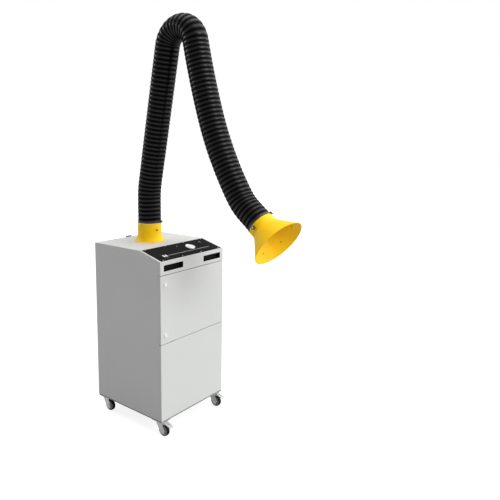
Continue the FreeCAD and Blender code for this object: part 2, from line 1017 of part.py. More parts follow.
housing_top = work_out("housing_top", shelf_top - V.shelf_thickness)
wall = V.fan_housing_wall
drum = rod("drum", (0, 0, housing_low), V.fan_housing_radius, V.fan_housing_height)
duct_length = rear - V.panel_depth
duct = box(
    "duct",
    (-V.fan_duct_width / 2, 0, housing_low),
    (V.fan_duct_width, duct_length, V.fan_housing_height),
)
drum_inner = rod(
    "drum_inner",
    (0, 0, housing_low + wall),
    V.fan_housing_radius - wall,
    V.fan_housing_height - wall * 2,
)
duct_inner = box(
    "duct_inner",
    (wall - V.fan_duct_width / 2, V.impeller_radius, housing_low + wall),
    (V.fan_duct_width - wall * 2, duct_length, V.fan_housing_height - wall * 2),
)
fan_inlet = rod("fan_inlet", (0, 0, housing_top - wall - over), V.fan_inlet_radius, wall + over * 2)
motor_bore = rod(
    "motor_bore",
    (0, 0, housing_low - over),
    V.motor_shaft_radius + V.pan_wall,
    wall + over * 2,
)
housing_solid = union("housing_solid", [drum, duct])
node(
    cut("fan_housing", housing_solid, [drum_inner, duct_inner, fan_inlet, motor_bore]),
    "fan_housing",
)

pan_floor = work_out("pan_floor", base + V.pan_wall)
motor_foot = box(
    "motor_foot",
    (-V.motor_foot_width / 2, -V.motor_foot_width / 2, pan_floor),
    (V.motor_foot_width, V.motor_foot_width, V.motor_foot_thickness),
)
motor_can = rod("motor_can", (0, 0, pan_floor), V.motor_radius, housing_low - pan_floor)
impeller_low = work_out("impeller_low", housing_low + V.impeller_lift)
hub_height = V.impeller_hub_height
shaft_length = impeller_low + hub_height - pan_floor
motor_shaft = rod("motor_shaft", (0, 0, pan_floor), V.motor_shaft_radius, shaft_length)
node(union("fan_motor", [motor_foot, motor_can, motor_shaft]), "fan_motor")

impeller_pieces = [
    rod("impeller_disc", (0, 0, impeller_low), V.impeller_radius, V.impeller_plate),
    rod("impeller_hub", (0, 0, impeller_low), V.impeller_hub_radius, hub_height),
]
blade_count = int(SIZES["impeller_blade_count"])
for step in range(blade_count):
    blade = doc.addObject("Part::Box", "blade")
    blade.setExpression("Length", V.impeller_blade_length.text)
    blade.setExpression("Width", V.impeller_plate.text)
    blade.setExpression("Height", V.impeller_blade_height.text)
    inward = V.impeller_radius - V.impeller_blade_length - V.impeller_plate
    placed(
        blade,
        spot((0, 0, impeller_low), (0, 0, 1), 360 / blade_count * step),
        spot((inward, 0, 0)),
    )
    impeller_pieces.append(blade)
impeller_solid = union("impeller_solid", impeller_pieces)
impeller_bore = rod(
    "impeller_bore",
    (0, 0, impeller_low - over),
    V.motor_shaft_radius + V.shaft_clearance,
    hub_height + over * 2,
)
node(cut("fan_impeller", impeller_solid, [impeller_bore]), "fan_impeller")

# Control plate with its screws.

plate = slope_box(
    "plate",
    as_size(0),
    plate_middle,
    0,
    (V.plate_width, V.plate_length, V.plate_thickness),
)
plate_tools = panel_holes("plate_hole", V.shaft_clearance)
node(cut("control_plate", plate, plate_tools), "control_plate")
screws = []
for side, down in screw_places:
    head = slope_rod("screw_head", side, down, V.plate_thickness, V.screw_head_radius, V.screw_head_height)
    shank = slope_rod(
        "screw_shank",
        side,
        down,
        V.plate_thickness - V.screw_length,
        V.screw_radius,
        V.screw_length,
    )
    screws.append(union("screw", [head, shank]))
node(group("panel_screws", screws), "panel_screws")

# Pressure gauge: a dished bezel on the plate, its body behind, and a needle on a spindle.

face = V.plate_thickness
gauge_spot = (V.gauge_side, V.gauge_down)
bezel = slope_rod("bezel", *gauge_spot, face, V.gauge_radius, V.gauge_height)
dish = slope_rod(
    "dish",
    *gauge_spot,
    face + V.gauge_height - V.gauge_face_depth,
    V.gauge_face_radius,
    V.gauge_face_depth + over,
)
gauge_back = slope_rod(
    "gauge_back", *gauge_spot, face - V.gauge_body_depth, V.gauge_body_radius, V.gauge_body_depth
)
dial = face + V.gauge_height - V.gauge_face_depth
spindle = slope_rod("spindle", *gauge_spot, dial, V.spindle_radius, V.needle_lift + V.needle_thickness)
gauge_solid = cut("gauge_solid", union("gauge_outer", [bezel, gauge_back]), [dish])
node(union("pressure_gauge", [gauge_solid, spindle]), "pressure_gauge")

needle_hub = slope_rod(
    "needle_hub",
    *gauge_spot,
    dial + V.needle_lift,
    V.needle_hub_radius,
    V.needle_thickness,
)
needle_arm = slope_box(
    "needle_arm",
    V.gauge_side - (V.needle_length - V.needle_tail) / 2,
    V.gauge_down,
    dial + V.needle_lift,
    (V.needle_length + V.needle_tail, V.needle_width, V.needle_thickness),
)
needle_bore = slope_rod(
    "needle_bore",
    *gauge_spot,
    dial,
    V.spindle_radius + V.shaft_clearance,
    V.gauge_face_depth,
)
needle_solid = union("needle_solid", [needle_hub, needle_arm])
node(cut("gauge_needle", needle_solid, [needle_bore]), "gauge_needle")

# Switch block with two push buttons side by side in their wells.

switch_spot = (-V.switch_side, V.switch_down)
block = slope_box("switch_body", *switch_spot, face, (V.switch_width, V.switch_length, V.switch_height))
wells = []
for button_name, step in (("start_button", -1), ("stop_button", 1)):
    side = V.button_spread * step - V.switch_side
    wells.append(
        slope_box(
            "button_well",
            side,
            V.switch_down,
            face + V.switch_height - V.button_well,
            (V.button_width, V.button_length, V.button_well + over),
        )
    )
    shrink = gap * 2
    button = slope_box(
        button_name,
        side,
        V.switch_down,
        face + V.switch_height - V.button_well + V.button_rise - gap,
        (V.button_width - shrink, V.button_length - shrink, V.button_well + gap),
    )
    node(button, button_name)
node(cut("switch_block", block, wells), "switch_block")

# Speed knob: a tapered knob with a pointer rib, its shaft in the plate.

knob_spot = (V.knob_side, V.knob_down)
knob_base = face + gap
knob_cone = doc.addObject("Part::Cone", "knob_cone")
knob_cone.setExpression("Radius1", V.knob_radius.text)
knob_cone.setExpression("Radius2", (V.knob_radius - V.knob_taper).text)
knob_cone.setExpression("Height", V.knob_height.text)
placed(knob_cone, on_slope(*knob_spot, knob_base))
knob_shaft = slope_rod(
    "knob_shaft",
    *knob_spot,
    knob_base - V.knob_shaft_length,
    V.knob_shaft_radius,
    V.knob_shaft_length,
)
knob_rib = slope_box(
    "knob_rib",
    V.knob_side,
    V.knob_down - V.knob_radius / 2,
    knob_base,
    (V.knob_taper * 2, V.knob_radius - V.knob_taper, V.knob_height + V.knob_taper / 2),
)
node(union("speed_knob", [knob_cone, knob_shaft, knob_rib]), "speed_knob")

# Indicator lamp.

lamp_spot = (-V.lamp_side, V.lamp_down)
lamp_lens = slope_rod("lamp_lens", *lamp_spot, face, V.lamp_radius, V.lamp_height)
lamp_body = slope_rod(
    "lamp_body", *lamp_spot, face - V.lamp_body_length, V.lamp_body_radius, V.lamp_body_length
)
node(union("indicator_lamp", [lamp_lens, lamp_body]), "indicator_lamp")

# Inlet collar: a spun sheet tube that flares to a flange, with a rolled bead near its top.

flare_level = V.collar_flange + V.collar_flare_radius * sine(V.collar_flare_turn)
flare_centre = (V.collar_foot_radius + V.collar_flare_radius, flare_level)
flare_low = flare_centre[0] - V.collar_flare_radius * cosine(V.collar_flare_turn)
bead_half = V.collar_bead_radius * BEAD_SHARE
bead_level = V.collar_height - V.collar_bead_drop
bead_inset = root(V.collar_bead_radius * V.collar_bead_radius - bead_half * bead_half)
bead_middle = (V.collar_radius - bead_inset, bead_level)
under_radius = V.collar_flare_radius + V.collar_flange
under_low = flare_centre[0] - root(under_radius * under_radius - flare_level * flare_level)
collar_steps = [
    (V.collar_radius - V.collar_wall, V.collar_height),
    (V.collar_foot_radius - V.collar_flange, flare_level),
    Bend(flare_centre, under_radius),
    (under_low, 0),
    (V.collar_flange_radius, 0),
    (V.collar_flange_radius, V.collar_flange),
    (flare_low, V.collar_flange),
    Bend(flare_centre, V.collar_flare_radius, clockwise=True),
    (V.collar_foot_radius, flare_level),
    (V.collar_radius, bead_level - bead_half),
    Bend(bead_middle, V.collar_bead_radius),
    (V.collar_radius, bead_level + bead_half),
    (V.collar_radius, V.collar_height),
]
collar = turned("collar_spun", collar_steps)
placed(collar, spot((0, V.collar_back, top)))


def turned_rod(name, place, turn, inner, radius, length):
    """A rod that points away from an upright axis, from a radius outwards."""
    item = doc.addObject("Part::Cylinder", name)
    item.setExpression("Radius", as_size(radius).text)
    item.setExpression("Height", as_size(length).text)
    return placed(item, spot(place, (0, 0, 1), turn), spot((inner, 0, 0), (0, 1, 0), 90))


lock_place = (0, V.collar_back, top + V.lock_screw_rise)
collar_tools = collar_rods("flange_hole", V.screw_radius + gap, -V.collar_flange, V.collar_flange * 3)
collar_tools.append(
    turned_rod(
        "lock_screw_hole",
        lock_place,
        V.lock_screw_turn,
        V.collar_radius / 2,
        V.lock_screw_shank + V.shaft_clearance,
        V.collar_radius,
    )
)
node(cut("inlet_collar", collar, collar_tools), "inlet_collar")
heads = collar_rods("flange_head", V.screw_head_radius, V.collar_flange, V.screw_head_height)
shanks = collar_rods(
    "flange_shank",
    V.screw_radius,
    V.collar_flange - V.screw_length,
    V.screw_length,
)
flange_screws = [union("flange_screw", list(pair)) for pair in zip(heads, shanks)]
node(group("collar_screws", flange_screws), "collar_screws")

# Thumb screw that holds the arm's swivel, its tip just short of the spigot.

lock_start = V.collar_radius - V.collar_wall + gap
lock_shank = turned_rod(
    "lock_shank",
    lock_place,
    V.lock_screw_turn,
    lock_start,
    V.lock_screw_shank,
    V.lock_screw_length,
)
lock_knob = turned_rod(
    "lock_knob",
    lock_place,
    V.lock_screw_turn,
    V.collar_foot_radius + gap,
    V.lock_screw_radius,
    V.lock_screw_length,
)
node(union("swivel_lock_screw", [lock_shank, lock_knob]), "swivel_lock_screw")

# The arm's own frame: +X forward, +Y along the joints' pins, +Z up, origin on the collar's axis.

ARM = spot((0, V.collar_back, 0), (0, 0, 1), V.arm_turn)


def arm_rod(name, place, radius, length, heading):
    """A rod from a point (forward, height) of the arm's plane along a heading."""
    item = doc.addObject("Part::Cylinder", name)
    item.setExpression("Radius", as_size(radius).text)
    item.setExpression("Height", as_size(length).text)
    return placed(item, ARM, spot((place[0], 0, place[1]), (0, 1, 0), heading))


def arm_bar(name, place, heading, start, length, height, low, thickness):
    """A bar along a heading, with its height in the arm's plane and its thickness along the pins."""
    item = doc.addObject("Part::Box", name)
    for field, value in zip(("Length", "Width", "Height"), (height, thickness, length)):
        item.setExpression(field, as_size(value).text)
    along = spot((place[0], 0, place[1]), (0, 1, 0), heading)
    return placed(item, ARM, along, spot((-as_size(height) / 2, low, start)))


def arm_pin(name, place, radius, low, length):
    """A rod along the pins' direction."""
    item = doc.addObject("Part::Cylinder", name)
    item.setExpression("Radius", as_size(radius).text)
    item.setExpression("Height", as_size(length).text)
    return placed(item, ARM, spot((place[0], low, place[1])), spot((0, 0, 0), (1, 0, 0), -90))


def eye(name, place, half_width):
    return arm_pin(name, place, V.eye_radius, -half_width, half_width * 2)


def pin_hole(name, place, clearance):
    reach = V.cheek_outer + over
    return arm_pin(name, place, V.pin_radius + clearance, -reach, reach * 2)


def cheeks(name, place, heading, start, length):
    """Two plates, one each side of an eye."""
    plates = []
    cheek = V.cheek_outer - V.cheek_inner
    for low in (V.cheek_inner, -V.cheek_outer):
        plates.append(arm_bar(name, place, heading, start, length, V.bar_height, low, cheek))
    return plates


def cheek_eyes(name, place):
    cheek = V.cheek_outer - V.cheek_inner
    lows = (V.cheek_inner, -V.cheek_outer)
    return [arm_pin(name, place, V.eye_radius, low, cheek) for low in lows]


def arm_bolt(name, place):
    """A headed pin through two cheeks and the eye between them."""
    shank = arm_pin(name + "_shank", place, V.pin_radius, -V.cheek_outer, V.cheek_outer * 2)
    head = arm_pin(name + "_head", place, V.pin_head_radius, V.cheek_outer, V.pin_head_height)
    nut_low = -V.cheek_outer - V.pin_head_height
    nut = arm_pin(name + "_nut", place, V.pin_head_radius, nut_low, V.pin_head_height)
    return union(name, [shank, head, nut])


# The hose's middle line: straight runs and arcs, as (length, turn) from the collar to the hood.


class Station:
    """A place on the hose's middle line: forward, height and heading."""

    def __init__(self, name, forward, height, heading):
        self.forward = work_out(name + "_forward", forward)
        self.height = work_out(name + "_height", height)
        self.heading = work_out(name + "_heading", heading)
        self.place = (self.forward, self.height)


def travel(name, start, run, turn):
    """The station at the end of a straight run or an arc."""
    if as_size(turn).number == 0:
        return Station(
            name,
            start.forward + run * sine(start.heading),
            start.height + run * cosine(start.heading),
            start.heading,
        )
    bend = work_out(name + "_radius", run / turn * 180 / math.pi)
    heading = start.heading + turn
    return Station(
        name,
        start.forward + bend * (cosine(start.heading) - cosine(heading)),
        start.height + bend * (sine(heading) - sine(start.heading)),
        heading,
    )


hose_foot = Station(
    "hose_foot",
    as_size(0),
    top + V.collar_height + V.spigot_flange + gap,
    as_size(0),
)
fold_run = work_out("fold_run", V.fold_radius * V.fold_turn * math.pi / 180)
bend_start = travel("bend_start", hose_foot, V.hose_foot_length, 0)
leg_start = travel("leg_start", bend_start, V.shoulder_bend_length, V.shoulder_turn)
leg_end = travel("leg_end", leg_start, V.lower_leg_length, 0)
fold_end = travel("fold_end", leg_end, fold_run, V.fold_turn)
forearm_middle = travel("forearm_middle", fold_end, V.forearm_length_one, V.forearm_turn_one)
wrist_start = travel("wrist_start", forearm_middle, V.forearm_length_two, V.forearm_turn_two)
wrist_end = travel("wrist_end", wrist_start, V.wrist_bend_length, V.wrist_turn)
hose_end = travel("hose_end", wrist_end, V.hose_end_length, 0)

# The arm's pivots: each lies where the hose's straight lines meet, the elbow inside the fold.

shoulder_reach = V.shoulder_bend_length / V.shoulder_turn * 180 / math.pi * tangent(V.shoulder_turn / 2)
shoulder = (as_size(0), work_out("shoulder_height", bend_start.height + shoulder_reach))
fold_middle = leg_end.heading + V.fold_turn / 2
elbow = (
    work_out(
        "elbow_forward",
        leg_end.forward
        + V.fold_radius * cosine(leg_end.heading)
        - (V.fold_radius - V.elbow_offset_height) * cosine(fold_middle),
    ),
    work_out(
        "elbow_height",
        leg_end.height
        - V.fold_radius * sine(leg_end.heading)
        + (V.fold_radius - V.elbow_offset_height) * sine(fold_middle),
    ),
)
wrist_reach = V.wrist_bend_length / V.wrist_turn * 180 / math.pi * tangent(V.wrist_turn / 2)
wrist = (
    work_out("wrist_forward", wrist_start.forward + wrist_reach * sine(wrist_start.heading)),
    work_out("wrist_height", wrist_start.height + wrist_reach * cosine(wrist_start.heading)),
)


def span(name, first, second):
    """Heading and length from one point of the arm's plane to another."""
    run = second[0] - first[0]
    rise = second[1] - first[1]
    return (
        work_out(name + "_heading", heading_of(run, rise)),
        work_out(name + "_length", root(run * run + rise * rise)),
    )


# Swivel spigot: a sheet tube in the collar, a flange on the collar's top and a neck in the hose.

spigot_radius = V.collar_radius - V.collar_wall - gap
neck_radius = V.hose_bore_radius - gap
spigot_steps = [
    (neck_radius - V.spigot_wall, V.collar_height - V.spigot_depth),
    (spigot_radius, V.collar_height - V.spigot_depth),
    (spigot_radius, V.collar_height),
    (V.collar_radius, V.collar_height),
    (V.collar_radius, V.collar_height + V.spigot_flange),
    (neck_radius, V.collar_height + V.spigot_flange),
    (neck_radius, V.collar_height + V.spigot_rise),
    (neck_radius - V.spigot_wall, V.collar_height + V.spigot_rise),
]
spigot = turned("spigot_spun", spigot_steps)
placed(spigot, ARM, spot((0, 0, top)))
node(spigot, "swivel_spigot")

# Shoulder bracket: a strap across the spigot's inside with two cheeks up to the shoulder pin.

strap_height = work_out("strap_level", top + V.collar_height)
bracket_pieces = [
    arm_bar(
        "strap",
        (as_size(0), strap_height),
        0,
        0,
        V.strap_height,
        V.strap_half_length * 2,
        -V.cheek_outer,
        V.cheek_outer * 2,
    )
]
bracket_pieces += cheeks(
    "shoulder_cheek",
    (as_size(0), strap_height),
    0,
    V.strap_height / 2,
    shoulder[1] - strap_height - V.strap_height / 2,
)
bracket_pieces += cheek_eyes("shoulder_cheek_eye", shoulder)
bracket_solid = union("bracket_solid", bracket_pieces)
bracket_hole = pin_hole("bracket_hole", shoulder, V.pin_clearance)
node(cut("shoulder_bracket", bracket_solid, [bracket_hole]), "shoulder_bracket")
node(arm_bolt("shoulder_pin", shoulder), "shoulder_pin")

# Lower arm: an eye, a tube on the hose's middle line and an angled bracket to the elbow.

lower_heading = leg_start.heading
lower_span = span("lower", shoulder, leg_end.place)
lower_length = lower_span[1]
lower_bracket = span("lower_bracket", leg_end.place, elbow)
half_eye = V.eye_half_width
lower_pieces = [
    eye("lower_eye", shoulder, half_eye),
    arm_bar(
        "lower_neck",
        shoulder,
        lower_heading,
        0,
        V.tube_setback * 2,
        V.bar_height,
        -half_eye,
        half_eye * 2,
    ),
    arm_rod(
        "lower_tube",
        (
            shoulder[0] + V.tube_setback * sine(lower_heading),
            shoulder[1] + V.tube_setback * cosine(lower_heading),
        ),
        V.tube_radius,
        lower_length - V.tube_setback,
        lower_heading,
    ),
    arm_bar(
        "lower_block",
        leg_end.place,
        lower_heading,
        -V.block_length,
        V.block_length + V.block_length / 2,
        V.bar_height + V.tube_radius,
        -V.cheek_outer,
        V.cheek_outer * 2,
    ),
]
lower_pieces += cheeks("elbow_cheek", leg_end.place, lower_bracket[0], 0, lower_bracket[1])
lower_pieces += cheek_eyes("elbow_cheek_eye", elbow)
lower_solid = union("lower_solid", lower_pieces)
lower_bore_start = V.tube_setback * 2
lower_holes = [
    pin_hole("lower_eye_hole", shoulder, V.pin_clearance),
    pin_hole("elbow_cheek_hole", elbow, V.pin_clearance),
    arm_rod(
        "lower_bore",
        (
            shoulder[0] + lower_bore_start * sine(lower_heading),
            shoulder[1] + lower_bore_start * cosine(lower_heading),
        ),
        V.tube_bore,
        lower_length - lower_bore_start - V.block_length,
        lower_heading,
    ),
]
node(cut("lower_arm", lower_solid, lower_holes), "lower_arm")
node(arm_bolt("elbow_pin", elbow), "elbow_pin")

# Forearm: an eye and bar from the elbow, a straight tube and a fork for the wrist.

upper_bracket = span("upper_bracket", elbow, fold_end.place)
forearm_line = span("forearm", fold_end.place, wrist)
forearm_pieces = [
    eye("forearm_eye", elbow, half_eye),
    arm_bar(
        "forearm_bar",
        elbow,
        upper_bracket[0],
        0,
        upper_bracket[1],
        V.bar_height,
        -half_eye,
        half_eye * 2,
    ),
    arm_bar(
        "forearm_block",
        fold_end.place,
        forearm_line[0],
        -V.block_length / 2,
        V.block_length,
        V.bar_height + V.tube_radius,
        -V.cheek_inner,
        V.cheek_inner * 2,
    ),
    arm_rod(
        "forearm_tube",
        fold_end.place,
        V.tube_radius,
        forearm_line[1] - V.tube_setback,
        forearm_line[0],
    ),
    arm_bar(
        "wrist_block",
        wrist,
        forearm_line[0],
        -V.tube_setback - V.block_length,
        V.block_length,
        V.bar_height,
        -V.cheek_outer,
        V.cheek_outer * 2,
    ),
]
wrist_reach_back = V.tube_setback + V.tube_setback / 2
forearm_pieces += cheeks("wrist_cheek", wrist, forearm_line[0], -wrist_reach_back, wrist_reach_back)
forearm_pieces += cheek_eyes("wrist_cheek_eye", wrist)
forearm_solid = union("forearm_solid", forearm_pieces)
forearm_holes = [
    pin_hole("forearm_eye_hole", elbow, V.pin_clearance),
    pin_hole("wrist_cheek_hole", wrist, V.pin_clearance),
    arm_rod(
        "forearm_bore",
        (
            fold_end.forward + V.block_length * sine(forearm_line[0]),
            fold_end.height + V.block_length * cosine(forearm_line[0]),
        ),
        V.tube_bore,
        forearm_line[1] - V.tube_setback - V.block_length * 2 - V.block_length / 2,
        forearm_line[0],
    ),
]
node(cut("forearm", forearm_solid, forearm_holes), "forearm")
node(arm_bolt("wrist_pin", wrist), "wrist_pin")

# Hood link: an eye, a bar on the hose's last straight and a cross rod for the hood's side bolts.

hood_heading = hose_end.heading
hood_place = (
    work_out("hood_forward", hose_end.forward + V.hood_tail_length * sine(hood_heading)),
    work_out("hood_height", hose_end.height + V.hood_tail_length * cosine(hood_heading)),
)
link_line = span("link", wrist, hood_place)
link_solid = union(
    "link_solid",
    [
        eye("link_eye", wrist, half_eye),
        arm_bar(
            "link_bar",
            wrist,
            hood_heading,
            0,
            link_line[1],
            V.bar_height,
            -half_eye,
            half_eye * 2,
        ),
        arm_pin("link_rod", hood_place, V.fork_rod_radius, -V.fork_rod_half, V.fork_rod_half * 2),
    ],
)
link_hole = pin_hole("link_hole", wrist, V.pin_clearance)
node(cut("hood_link", link_solid, [link_hole]), "hood_link")

# Hood: a spun sheet bell with a straight neck, a flared mouth and a folded rim.

HOOD = spot((hood_place[0], 0, hood_place[1]), (0, 1, 0), hood_heading)
flare_angle = V.hood_flare_turn
flare_radius = V.hood_flare_radius
inner_flare = flare_radius + V.hood_wall
neck = V.hood_neck_radius
bell_centre = (neck + flare_radius, V.hood_neck_length)
flare_out = (
    bell_centre[0] - flare_radius * cosine(flare_angle),
    bell_centre[1] + flare_radius * sine(flare_angle),
)
flare_in = (
    bell_centre[0] - inner_flare * cosine(flare_angle),
    bell_centre[1] + inner_flare * sine(flare_angle),
)
rim_low = V.hood_depth - V.hood_rim_thickness
slant = tangent(flare_angle)
mouth_out = flare_out[0] + (rim_low - flare_out[1]) * slant
mouth_in = flare_in[0] + (V.hood_depth - flare_in[1]) * slant
hood_steps = [
    (neck - V.hood_wall, -V.hood_tail_length),
    (neck, -V.hood_tail_length),
    (neck, V.hood_neck_length),
    Bend(bell_centre, flare_radius, clockwise=True),
    flare_out,
    (mouth_out, rim_low),
    (V.hood_mouth_radius, rim_low),
    (V.hood_mouth_radius, V.hood_depth),
    (mouth_in, V.hood_depth),
    flare_in,
    Bend(bell_centre, inner_flare),
    (neck - V.hood_wall, V.hood_neck_length),
]
bell = turned("bell_spun", hood_steps)
placed(bell, ARM, HOOD)


def hood_rod(name, turn, inner, station, radius, length):
    """A rod that points outwards from the hood's axis."""
    item = doc.addObject("Part::Cylinder", name)
    item.setExpression("Radius", as_size(radius).text)
    item.setExpression("Height", as_size(length).text)
    around = spot((0, 0, station), (0, 0, 1), turn)
    return placed(item, ARM, HOOD, around, spot((inner, 0, 0), (0, 1, 0), 90))


bolt_reach = V.hood_neck_radius - V.fork_rod_half
bell_tools = []
fastener_pieces = []
for turn in (90, -90):
    bell_tools.append(
        hood_rod(
            "hood_bolt_hole",
            turn,
            V.fork_rod_half,
            0,
            V.hood_bolt_radius + gap,
            bolt_reach * 2,
        )
    )
    shank = hood_rod("hood_bolt_shank", turn, V.fork_rod_half, 0, V.hood_bolt_radius, bolt_reach + gap)
    head = hood_rod(
        "hood_bolt_knob",
        turn,
        V.hood_neck_radius + gap,
        0,
        V.hood_bolt_head,
        V.hood_bolt_height,
    )
    fastener_pieces.append(union("hood_bolt", [shank, head]))
screw_line = flare_in[0] + (V.hood_screw_station - flare_in[1]) * slant
screw_lift = V.hood_screw_radius * V.hood_screw_radius / screw_line
for step in range(int(SIZES["hood_screw_count"])):
    turn = V.hood_screw_turn + 360 / SIZES["hood_screw_count"] * step
    head = doc.addObject("Part::Cylinder", "hood_screw")
    head.setExpression("Radius", V.hood_screw_radius.text)
    head.setExpression("Height", V.screw_head_height.text)
    placed(
        head,
        ARM,
        HOOD,
        spot((0, 0, V.hood_screw_station), (0, 0, 1), turn),
        spot((screw_line, 0, 0), (0, 1, 0), flare_angle - 90),
        spot((0, 0, screw_lift)),
    )
    fastener_pieces.append(head)
node(cut("hood_bell", bell, bell_tools), "hood_bell")
node(group("hood_fasteners", fastener_pieces), "hood_fasteners")

# Hose clamps: a thin band round the hose with its screw housing.


def clamp(name, spots, low, turn):
    inner = V.hose_radius + gap
    outer_band = doc.addObject("Part::Cylinder", name + "_outer")
    outer_band.setExpression("Radius", (inner + V.clamp_thickness).text)
    outer_band.setExpression("Height", V.clamp_width.text)
    placed(outer_band, *spots, spot((0, 0, low)))
    lug = doc.addObject("Part::Box", name + "_lug")
    lug.setExpression("Length", V.clamp_lug_size.text)
    lug.setExpression("Width", V.clamp_lug_length.text)
    lug.setExpression("Height", V.clamp_width.text)
    around = spot((0, 0, low), (0, 0, 1), turn)
    placed(lug, *spots, around, spot((inner + V.clamp_thickness / 2, -V.clamp_lug_length / 2, 0)))
    inner_band = doc.addObject("Part::Cylinder", name + "_inner")
    inner_band.setExpression("Radius", inner.text)
    inner_band.setExpression("Height", (V.clamp_width + over * 2).text)
    placed(inner_band, *spots, spot((0, 0, low - over)))
    return cut(name, union(name + "_solid", [outer_band, lug]), [inner_band])


foot_spot = spot((0, V.collar_back, hose_foot.height))
node(clamp("lower_hose_clamp", (foot_spot,), gap, V.lower_lug_turn), "lower_hose_clamp")
hood_clamp_low = -V.hood_tail_length - gap - V.clamp_width
node(clamp("hood_clamp_cut", (ARM, HOOD), hood_clamp_low, V.hood_lug_turn), "hood_clamp")

# Ribbed hose: each stretch is a lofted skin through four circles a rib, with a smooth bore.


def circle_at(station_forward, station_height, heading, radius):
    """A circle square to the middle line, with its seam on the pins' side."""
    ring = Part.makeCircle(radius)
    ring.Placement = FreeCAD.Placement(
        Vector(station_forward, 0, station_height),
        FreeCAD.Rotation(Vector(0, 1, 0), heading).multiply(
            FreeCAD.Rotation(Vector(0, 0, 1), 90)
        ),
    )
    return Part.Wire([ring])


def walk(start, runs, distance):
    """Forward, height and heading at a distance along runs of (length, turn)."""
    forward = start.forward.number
    height = start.height.number
    heading = start.heading.number
    for length, turn in runs:
        step = min(distance, length)
        share = step / length
        middle = math.radians(heading + turn * share / 2)
        half = math.radians(turn * share / 2)
        chord = step if half == 0 else step * math.sin(half) / half
        forward += chord * math.sin(middle)
        height += chord * math.cos(middle)
        heading += turn * share
        distance -= step
        if distance <= 0:
            break
    return forward, height, heading


def hose_stretch(name, start, runs):
    total = sum(length for length, turn in runs)
    ribs = round(total / V.rib_pitch.number)
    pitch = total / ribs
    crest = V.hose_radius.number
    valley = V.hose_root_radius.number
    radii = (valley, crest, crest, valley)
    circles = []
    for rib in range(ribs):
        for share, radius in zip(RIB_SHARES, radii):
            circles.append(circle_at(*walk(start, runs, pitch * (rib + share)), radius))
    circles.append(circle_at(*walk(start, runs, total), valley))
    skin = Part.makeLoft(circles, True, True)
    edges = []
    done = 0
    for length, turn in runs:
        first = Vector(*plane_point(walk(start, runs, done)))
        middle = Vector(*plane_point(walk(start, runs, done + length / 2)))
        last = Vector(*plane_point(walk(start, runs, done + length)))
        if turn == 0:
            edges.append(Part.LineSegment(first, last).toShape())
        else:
            edges.append(Part.Arc(first, middle, last).toShape())
        done += length
    profile = circle_at(*walk(start, runs, 0), V.hose_bore_radius.number)
    bore = Part.Wire(edges).makePipeShell([profile], True, False)
    item = doc.addObject("Part::Feature", name)
    item.Shape = skin.cut(bore)
    placed(item, ARM)
    print(name, "ribs", ribs, "volume", round(item.Shape.Volume), "valid", item.Shape.isValid())
    return node(item, name)


def plane_point(place):
    return place[0], 0, place[1]


def run_of(length, turn=0):
    return as_size(length).number, as_size(turn).number


hose_stretch(
    "hose_shoulder_bend",
    hose_foot,
    [run_of(V.hose_foot_length), run_of(V.shoulder_bend_length, V.shoulder_turn)],
)
hose_stretch("hose_lower_leg", leg_start, [run_of(V.lower_leg_length)])
hose_stretch("hose_elbow_bend", leg_end, [run_of(fold_run, V.fold_turn)])
hose_stretch(
    "hose_forearm_leg",
    fold_end,
    [
        run_of(V.forearm_length_one, V.forearm_turn_one),
        run_of(V.forearm_length_two, V.forearm_turn_two),
    ],
)
hose_stretch(
    "hose_wrist_bend",
    wrist_start,
    [run_of(V.wrist_bend_length, V.wrist_turn), run_of(V.hose_end_length)],
)

# Casters: top plates with the bearing races, swivelling forks, wheels and the front brakes.

wheel_top = V.wheel_radius * 2
king_low = wheel_top + V.pan_wall * 2
crown_low = work_out("crown_low", base - V.caster_plate - V.race_height - V.crown_height)
corners = {
    "front_left": (-V.caster_side, -V.caster_front),
    "front_right": (V.caster_side, -V.caster_front),
    "rear_left": (-V.caster_side, V.caster_front),
    "rear_right": (V.caster_side, V.caster_front),
}
plates = []
for x, y in corners.values():
    plate_x = x - V.caster_plate_width / 2
    plate_y = y - V.caster_plate_length / 2
    pieces = [
        box(
            "caster_plate",
            (plate_x, plate_y, base - V.caster_plate),
            (V.caster_plate_width, V.caster_plate_length, V.caster_plate),
        ),
        rod("race", (x, y, crown_low + V.crown_height), V.race_radius, V.race_height),
        rod("king", (x, y, king_low), V.king_radius, crown_low + V.crown_height - king_low),
        rod("king_head", (x, y, king_low), V.king_head_radius, V.king_head_height),
    ]
    plates.append(union("caster_top", pieces))
node(group("caster_plates", plates), "caster_plates")

